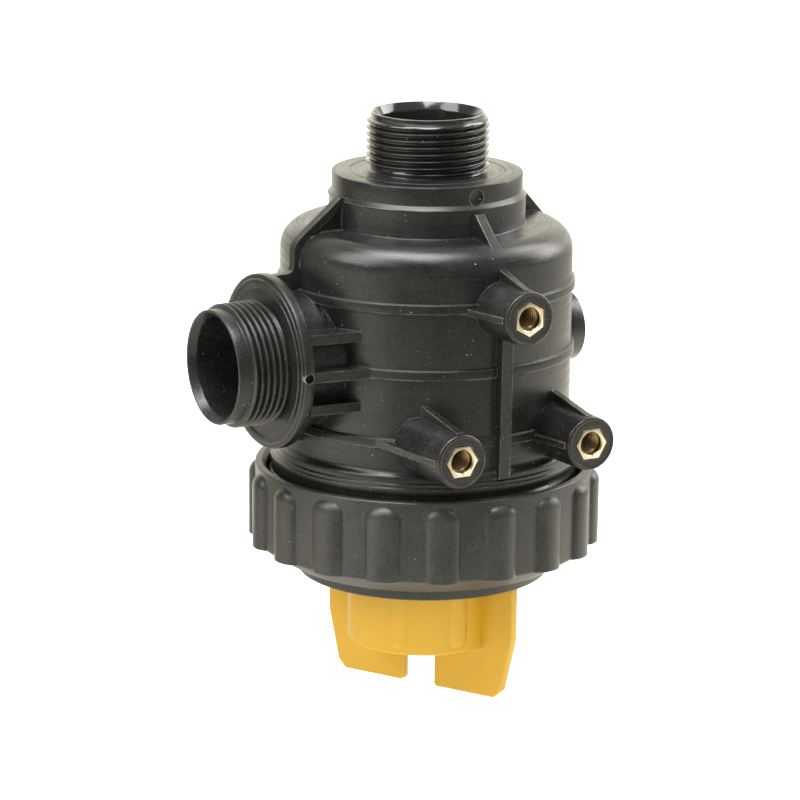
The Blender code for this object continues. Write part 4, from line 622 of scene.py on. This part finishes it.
webs.append(makePlate("webBar", webOutline, gusset["thick"], upright(180), edge=0))
webs.append(makePlate("webUnder", web["under"], gusset["thick"], upright(180), edge=0))
webs.append(makePlate("strake", strake["outline"], strake["thick"], upright(-90), edge=0))
combine(body, webs, "UNION")
hollow = [(collar["lowRadius"] + web["cutIn"], gusset["sideTop"] - web["bar"] * 1.5),
          (bendX + web["cutCorner"][0], bendZ + web["cutCorner"][1]),
          (outside - web["bar"], bendZ), (outside - web["bar"], web["cutLow"]),
          (barrel["radius"] + web["cutIn"], web["cutLow"]), (barrel["radius"] + web["cutIn"], web["cutHigh"])]
hollow += [(barrel["radius"] - inwards, shoulderAt(barrel["radius"] - inwards) + web["cutOver"])
           for inwards in web["cutAlong"]]
hollow.append((collar["lowRadius"] + web["cutIn"], barrel["shoulder"] + web["cutOver"]))
sides = [makePlate(f"webHollow_{side}", hollow, web["cutDeep"], upright(180) @ Matrix.Translation(
    (0, 0, side * (web["thin"] + web["cutDeep"]) / 2)), edge=0) for side in (1, -1)]
combine(body, sides, "DIFFERENCE")

# three fins on each boss
bossFins = []
finOuter = boss["face"] - boss["finStop"]
for label, (x, z) in boss["places"].items():
    for turn in (0, -90, 90):
        side = x + boss["finReach"] * math.sin(math.radians(turn))
        wall = math.sqrt(barrel["radius"] ** 2 - side ** 2)
        inner = min(wall, math.sqrt(barrel["radius"] ** 2 - x ** 2) - barrel["wall"]) - 1
        outline = [(inner, boss["finInner"]), (finOuter, boss["finInner"]),
                   (finOuter, boss["tip"] + boss["finRise"]),
                   (min(wall, inner + boss["finSlope"]), boss["finReach"]), (inner, boss["finReach"])]
        place = (Matrix.Translation((x, 0, z)) @ Matrix.Rotation(math.radians(turn), 4, "Y") @ upright(-90))
        bossFins.append(makePlate(f"bossFin_{label}_{turn}", outline, boss["finThick"], place, edge=0))
combine(body, bossFins, "UNION")

inside = barrel["radius"] - barrel["wall"]
ceiling = barrel["shoulder"] - barrel["wall"]
cuts = [makeTurned("cavity", [
    *boreCorners(topPort["lip"]), (port["bore"], collar["chamberTop"]),
    (collar["chamber"], collar["chamberTop"], collar["chamberEdge"]), (collar["chamber"], collar["chamberEnd"]),
    (collar["chamberWall"], collar["chamberEnd"]), (collar["chamberWall"], ceiling),
    (inside, ceiling, barrel["fillet"] - barrel["wall"]), (inside, barrel["end"] - 1),
    (0, barrel["end"] - 1)], steps=144)]
cuts.append(makeTurned("sideBore", [
    *boreCorners(sidePort["lip"]), (port["bore"], sidePort["boreEnd"]), (0, sidePort["boreEnd"])],
    steps=144, place=sideways))


# a hexagonal prism along Y behind the bosses' faces: a corner up on the upper one, a flat on the others
def makeHexagon(name, label, flats, front, deep, edge=0.0):
    x, z = boss["places"][label]
    bm = bmesh.new()
    place = (Matrix.Translation((x, -front + deep / 2, z))
             @ Matrix.Rotation(math.radians(0 if label == "upper" else 30), 4, "Y") @ forwards)
    bmesh.ops.create_cone(bm, cap_ends=True, segments=6, radius1=flats / math.sqrt(3),
                          radius2=flats / math.sqrt(3), depth=deep, matrix=place)
    if edge:
        bmesh.ops.bevel(bm, geom=bm.edges[:], offset=edge, offset_type="OFFSET", affect="EDGES", segments=2,
                        profile=0.5, material=-1)
    return toObject(name, bm)


for label in boss["places"]:
    cuts.append(makeHexagon(f"pocket_{label}", label, insert["flats"] + insert["pocketWide"], boss["face"] + 1,
                            insert["deep"] + insert["pocketDeep"]))
cuts.append(makeTurned("recess", [
    (0, 0), (collar["recess"], 0, collar["recessEdge"]), (collar["recess"], cutLong), (0, cutLong)], steps=40,
    place=Matrix.Translation((0, -collar["radius"] + collar["recessDeep"], collar["recessHigh"])) @ forwards))
for side in (1, -1):
    middle = (-flange + sidePort["flangeThick"] / 2, -side * (sidePort["flangeRadius"] - sidePort["pinDeep"]), 0)
    cuts.append(makeTurned(f"pinHole_{side}", [
        (0, 0), (sidePort["pinHole"], 0), (sidePort["pinHole"], cutLong), (0, cutLong)], steps=32,
        place=Matrix.Translation(middle) @ Matrix.Rotation(math.radians(90 * side), 4, "X")))
combine(body, cuts, "DIFFERENCE")
finishPiece(body, "body", "black_plastic", "body")

# brass inserts, tapped M8
for label, (x, z) in boss["places"].items():
    piece = makeHexagon(f"fineInsert_{label}", label, insert["flats"], boss["face"], insert["deep"],
                        edge=insert["edge"])
    place = Matrix.Translation((x, 0, z)) @ forwards
    bore = makeTurned("tapping", [
        (0, boss["face"] + 0.5), (insert["root"] + insert["sinkWide"], boss["face"] + 0.5),
        (insert["root"], boss["face"] - insert["sinkDeep"]), (insert["root"], boss["face"] - insert["boreDeep"]),
        (0, boss["face"] - insert["boreDeep"])], steps=64, place=place)
    combine(piece, [bore], "DIFFERENCE")
    ridge = makeRidge("tapThread", {
        "root": insert["root"], "crest": insert["bore"], "pitch": insert["pitch"],
        "rootHalf": insert["rootHalf"], "crestHalf": insert["crestHalf"], "perTurn": insert["perTurn"],
        "fadeIn": insert["fadeIn"], "fadeOut": insert["fadeOut"], "turns": insert["turns"],
        "start": boss["face"] - insert["threadDeep"], "angle": 0.0}, place)
    combine(piece, [ridge], "UNION")
    finishPiece(piece, "body", "brass", f"insert_{label}", sharp=30)


# ring nut
nut = {
    "radius": 58.2, "top": -41.5, "edge": -68.8, "end": -75.4, "coneRadius": 47.8, "hole": 44.2, "bore": 54.5,
    "chamfer": 1.5, "floor": -68.6, "topEdge": 0.7, "lowEdge": 0.8, "holeEdge": 0.3,
    "ribs": 18, "ribPhase": 6.0, "ribWide": 6.4, "ribDeep": 3.9, "ribProud": 2.5, "ribTop": -43.2,
    "ribDome": 4.6, "ribBack": 56.2, "ribSunk": 0.3,
}


# an upright ridge with a half-round section and a domed top
def makeRib(name, sizes, angle):
    bm = bmesh.new()
    bmesh.ops.create_uvsphere(bm, u_segments=28, v_segments=16, radius=1.0)
    for vert in bm.verts:
        if vert.co.z < -0.01:
            vert.co.z = sizes["bottom"] if sizes["flat"] else sizes["bottom"] + sizes["dome"] * (1 + vert.co.z)
        else:
            vert.co.z = sizes["top"] - sizes["dome"] * (1 - vert.co.z)
        vert.co.x = max(sizes["centre"] + sizes["deep"] * vert.co.x, sizes.get("back", 0))
        vert.co.y *= sizes["wide"]
    bm.transform(Matrix.Rotation(math.radians(angle), 4, "Z"))
    return toObject(name, bm)


ringNut = makeTurned("fineRingNut", [
    (nut["bore"] + nut["chamfer"], nut["top"]), (nut["radius"], nut["top"], nut["topEdge"]),
    (nut["radius"], nut["edge"], nut["lowEdge"]), (nut["coneRadius"], nut["end"], nut["topEdge"]),
    (nut["hole"], nut["end"], nut["holeEdge"]), (nut["hole"], nut["floor"], nut["holeEdge"]),
    (nut["bore"], nut["floor"]), (nut["bore"], nut["top"] - nut["chamfer"])], steps=180, closed=True)
rib = {"top": nut["ribTop"], "bottom": nut["edge"] - nut["ribSunk"], "dome": nut["ribDome"], "flat": True,
       "centre": nut["radius"] + nut["ribProud"] - nut["ribDeep"], "deep": nut["ribDeep"],
       "wide": nut["ribWide"], "back": nut["ribBack"]}
ribs = [makeRib(f"rib_{i}", rib, nut["ribPhase"] + 360 / nut["ribs"] * i) for i in range(nut["ribs"])]
combine(ringNut, [joinPieces("ribs", ribs)], "UNION")
finishPiece(ringNut, "ring_nut", "black_plastic", "ring_nut", look=greyBlackPlastic)


# bottom cover
cover = {
    # radius, height and a rounding where it has one: over the spigot and its ring's groove, out to
    # the rim that the nut clamps, down the disc, and back by the stem's hub and the sump
    "profile": [(40.2, -54.0, 0.4), (45.7, -54.0, 0.8), (45.7, -57.6), (43.1, -57.6), (43.1, -60.4),
                (45.7, -60.4), (45.7, -63.3, 0.3), (51.6, -63.3, 0.4), (51.6, -68.3, 0.4), (43.4, -68.3, 0.3),
                (43.4, -79.8, 0.8), (5.2, -79.8, 0.3), (5.2, -60.0), (9.8, -60.0, 0.5), (9.8, -74.6, 0.8),
                (33.0, -74.6, 0.8), (33.0, -64.6, 0.3), (40.2, -64.6)],
    "ribs": 6, "ribThick": 2.2, "ribEdge": 0.4,
    "ribOutline": [(8.8, -75.5), (34, -75.5), (34, -68.4), (8.8, -68.4)],
}
coverPiece = makeTurned("fineCover", cover["profile"], steps=160, closed=True)
coverRibs = [makePlate(f"coverRib_{i}", cover["ribOutline"], cover["ribThick"],
                       upright(360 / cover["ribs"] * (i + 0.5)), edge=cover["ribEdge"])
             for i in range(cover["ribs"])]
combine(coverPiece, [joinPieces("coverRibs", coverRibs)], "UNION")
finishPiece(coverPiece, "cover", "black_plastic", "cover", look=greyBlackPlastic)


# knob
knob = {
    "radius": 25.9, "top": -80.1, "topEdge": 0.8, "end": -105.0, "endEdge": 0.9,
    "gripWide": 3.85, "gripProud": 1.2, "gripDeep": 2.6, "gripStart": 1.2, "gripStop": 1.6,
    "grips": (-34.4, 13.1, 60.5),   # degrees from the middle between the wings
    "wingAngle": 118.0, "wingRoot": 16, "wingTop": -82.0, "wingRadius": 37.4, "wingTip": 33.1,
    "wingBend": -101.0, "wingEnd": -122.4, "wingCorner": 2.9, "wingInner": 0.8, "wingGap": 6.3,
    "wingThick": 3.7, "wingEdge": 0.45,
    "bore": [(5.2, -98.7), (2.3, -98.7), (2.3, -102.1), (4.7, -102.1)],     # stem, screw and its head
}
knobPiece = makeTurned("fineKnob", [
    (0, knob["top"]), (knob["radius"], knob["top"], knob["topEdge"]),
    (knob["radius"], knob["end"], knob["endEdge"]), (0, knob["end"])], steps=128)
grip = {"top": knob["top"] - knob["gripStart"], "bottom": knob["end"] + knob["gripStop"],
        "dome": knob["gripWide"], "flat": False, "deep": knob["gripDeep"], "wide": knob["gripWide"],
        "centre": knob["radius"] + knob["gripProud"] - knob["gripDeep"]}
grips = [makeRib(f"grip_{half}_{offset}", grip, knob["wingAngle"] + half + offset)
         for half in (90, -90) for offset in knob["grips"]]
combine(knobPiece, [joinPieces("grips", grips)], "UNION")
wingOutline = [
    (knob["wingRoot"], knob["wingTop"]), (knob["wingRadius"], knob["wingTop"]),
    (knob["wingRadius"], knob["wingBend"]), (knob["wingTip"] + 0.1, knob["wingEnd"] + knob["wingCorner"]),
    (knob["wingTip"] - knob["wingCorner"], knob["wingEnd"]),
    (knob["wingGap"] + knob["wingInner"], knob["wingEnd"]),
    (knob["wingGap"], knob["wingEnd"] + knob["wingInner"]), (knob["wingGap"], knob["end"] + 1),
    (knob["wingRoot"], knob["end"] + 1)]
wings = [makePlate(f"wing_{turn}", wingOutline, knob["wingThick"], upright(knob["wingAngle"] + turn),
                   edge=knob["wingEdge"]) for turn in (0, 180)]
combine(knobPiece, [joinPieces("wings", wings)], "UNION")
knobBore = makeTurned("knobBore", [
    (0, knob["top"] + 1), (knob["bore"][0][0], knob["top"] + 1), *knob["bore"],
    (knob["bore"][-1][0], knob["end"] - 1), (0, knob["end"] - 1)], steps=48)
combine(knobPiece, [knobBore], "DIFFERENCE")
finishPiece(knobPiece, "knob", "yellow_plastic", "knob")


# floor, world and lamps
studio = {
    "floorLevel": -0.143,       # clear of the knob when the nut and the valve are both turned down
    "floorReach": 8.0, "floorGlow": 0.72, "floorColour": "e8e8e6", "floorRoughness": 0.9,
    "floorBounce": 0.12,        # how much it lights the undersides
    # the pale floor as gloss shows it: the azimuth of each bright side, the cosines from it at which
    # the side fades in and is full, and its strength
    "sides": ((0, 0.1, 0.75, 1.6), (178, 0.6, 1.0, 2.0), (70, 0.6, 0.9, 2.6)),
    # two distances in metres and the strengths there: what the sides are multiplied by, the least
    # that shows in front, and the least that shows under the object
    "fading": (0.25, 0.9, 1.4, 0.6), "ahead": (0.42, 0.86, 0.85, 0.16), "under": (0.22, 0.43, 1.2, 0.0),
    # the room: two cosines and the strengths there, towards the back, the sides and overhead
    "room": {"back": (-0.55, -0.9, 0.1, 1.0), "side": (0.3, 1.0, 0.1, 0.3), "over": (0.4, 0.8, 0.1, 0.45)},
    "roomTint": "fffcf2", "tint": "fffae8", "backdrop": 1.8, "backdropFrom": (-0.5, -0.85),
    # soft boxes: name, azimuth, height, distance, width, tall, watts, and whether gloss shows them
    "softBoxes": (
        ("left", 178.0, 0.9, 1.1, 0.8, 0.9, 13.0, True), ("right", -5.0, 0.7, 1.2, 0.7, 1.2, 18.0, True),
        ("over", -150.0, 1.25, 0.35, 1.0, 0.7, 24.0, True), ("fill", -120.0, 0.3, 1.6, 1.2, 1.2, 8.0, False)),
}
white = (1, 1, 1, 1)
bm = bmesh.new()
bmesh.ops.create_grid(bm, x_segments=1, y_segments=1, size=studio["floorReach"],
                      matrix=Matrix.Translation((0, 0, studio["floorLevel"])))
floor = toObject("floor", bm)
look, tree, shader = startMaterial("Painted floor", studio["floorColour"], studio["floorRoughness"],
                                   Specular_IOR_Level=0.0)
place = addNode(tree, "TexCoord").outputs["Object"]
outwards = addNode(tree, "VectorMath", {0: place}, operation="NORMALIZE")
away = addNode(tree, "VectorMath", {0: place}, operation="LENGTH")
gloss = None
for azimuth, start, full, strength in studio["sides"]:
    aim = (math.cos(math.radians(azimuth)), math.sin(math.radians(azimuth)), 0)
    along = addNode(tree, "VectorMath", {0: outwards, 1: aim}, operation="DOT_PRODUCT")
    side = addNode(tree, "MapRange", {"Value": along, "From Min": start, "From Max": full, "To Min": 0.0,
                                      "To Max": strength}, interpolation_type="SMOOTHSTEP")
    gloss = side if gloss is None else addNode(tree, "Math", {0: gloss, 1: side}, operation="MAXIMUM")
for name, operation in (("fading", "MULTIPLY"), ("ahead", "MAXIMUM"), ("under", "MAXIMUM")):
    near, far, strongest, weakest = studio[name]
    level = addNode(tree, "MapRange", {"Value": away, "From Min": near, "From Max": far, "To Min": strongest,
                                       "To Max": weakest}, interpolation_type="SMOOTHSTEP")
    gloss = addNode(tree, "Math", {0: gloss, 1: level}, operation=operation)
seen = addNode(tree, "LightPath")
mirrored = addNode(tree, "Math", {0: seen.outputs["Is Glossy Ray"], 1: seen.outputs["Is Transmission Ray"]},
                   operation="MAXIMUM")
glow = addNode(tree, "Emission", {"Color": white, "Strength": studio["floorGlow"]})
both = addNode(tree, "AddShader", {0: shader, 1: glow})
bounce = addNode(tree, "Emission", {"Color": white, "Strength": studio["floorBounce"]})
lit = addNode(tree, "AddShader", {0: shader, 1: bounce})
mirror = addNode(tree, "Emission", {"Color": toLinear(studio["tint"]), "Strength": gloss})
plain = addNode(tree, "MixShader", {0: mirrored, 1: lit, 2: mirror})
pick = addNode(tree, "MixShader", {0: seen.outputs["Is Camera Ray"], 1: plain, 2: both})
setSockets(tree.nodes["Material Output"], {"Surface": pick})
floor.data.materials.append(look)

world = bpy.data.worlds.new("studio")
scene.world = world
world.use_nodes = True
tree = world.node_tree
tree.nodes.clear()
direction = addNode(tree, "TexCoord").outputs["Generated"]
towards = Vector((cameraSizes["place"][0], cameraSizes["place"][1], 0)).normalized()
facing = addNode(tree, "VectorMath", {0: direction, 1: towards}, operation="DOT_PRODUCT")
across = addNode(tree, "VectorMath", {0: direction, 1: (-towards.y, towards.x, 0)}, operation="DOT_PRODUCT")
wide = addNode(tree, "Math", {0: across}, operation="ABSOLUTE")
height = addNode(tree, "SeparateXYZ", {"Vector": direction})
sources = {"back": facing, "side": wide, "over": height.outputs["Z"]}
level = None
for name, source in sources.items():
    start, full, weakest, strongest = studio["room"][name]
    part = addNode(tree, "MapRange", {"Value": source, "From Min": start, "From Max": full,
                                      "To Min": weakest, "To Max": strongest},
                                      interpolation_type="SMOOTHSTEP")
    level = part if level is None else addNode(tree, "Math", {0: level, 1: part}, operation="MAXIMUM")
room = addNode(tree, "Background", {"Color": toLinear(studio["roomTint"]), "Strength": level})
plain = addNode(tree, "Background", {"Color": white, "Strength": 1.0})
mirror = addNode(tree, "Background", {"Color": toLinear(studio["tint"]), "Strength": studio["backdrop"]})
seen = addNode(tree, "LightPath")
mirrored = addNode(tree, "Math", {0: seen.outputs["Is Glossy Ray"], 1: seen.outputs["Is Transmission Ray"]},
                   operation="MAXIMUM")
backdrop = addNode(tree, "MapRange", {"Value": facing, "From Min": studio["backdropFrom"][0],
                                      "From Max": studio["backdropFrom"][1]})
behind = addNode(tree, "Math", {0: mirrored, 1: backdrop}, operation="MULTIPLY")
reflected = addNode(tree, "MixShader", {0: behind, 1: room, 2: mirror})
pick = addNode(tree, "MixShader", {0: seen.outputs["Is Camera Ray"], 1: reflected, 2: plain})
addNode(tree, "OutputWorld", {"Surface": pick})

for label, azimuth, height, distance, wide, tall, watts, glossy in studio["softBoxes"]:
    data = bpy.data.lights.new(label, "AREA")
    data.shape = "RECTANGLE"
    data.size, data.size_y, data.energy = wide, tall, watts
    lamp = bpy.data.objects.new(label, data)
    lamp.visible_glossy = glossy
    scene.collection.objects.link(lamp)
    spot = Matrix.Rotation(math.radians(azimuth), 3, "Z") @ Vector((distance, 0, height))
    lamp.matrix_world = Matrix.Translation(spot) @ (-spot).to_track_quat("-Z", "Y").to_matrix().to_4x4()
print("studio lit")
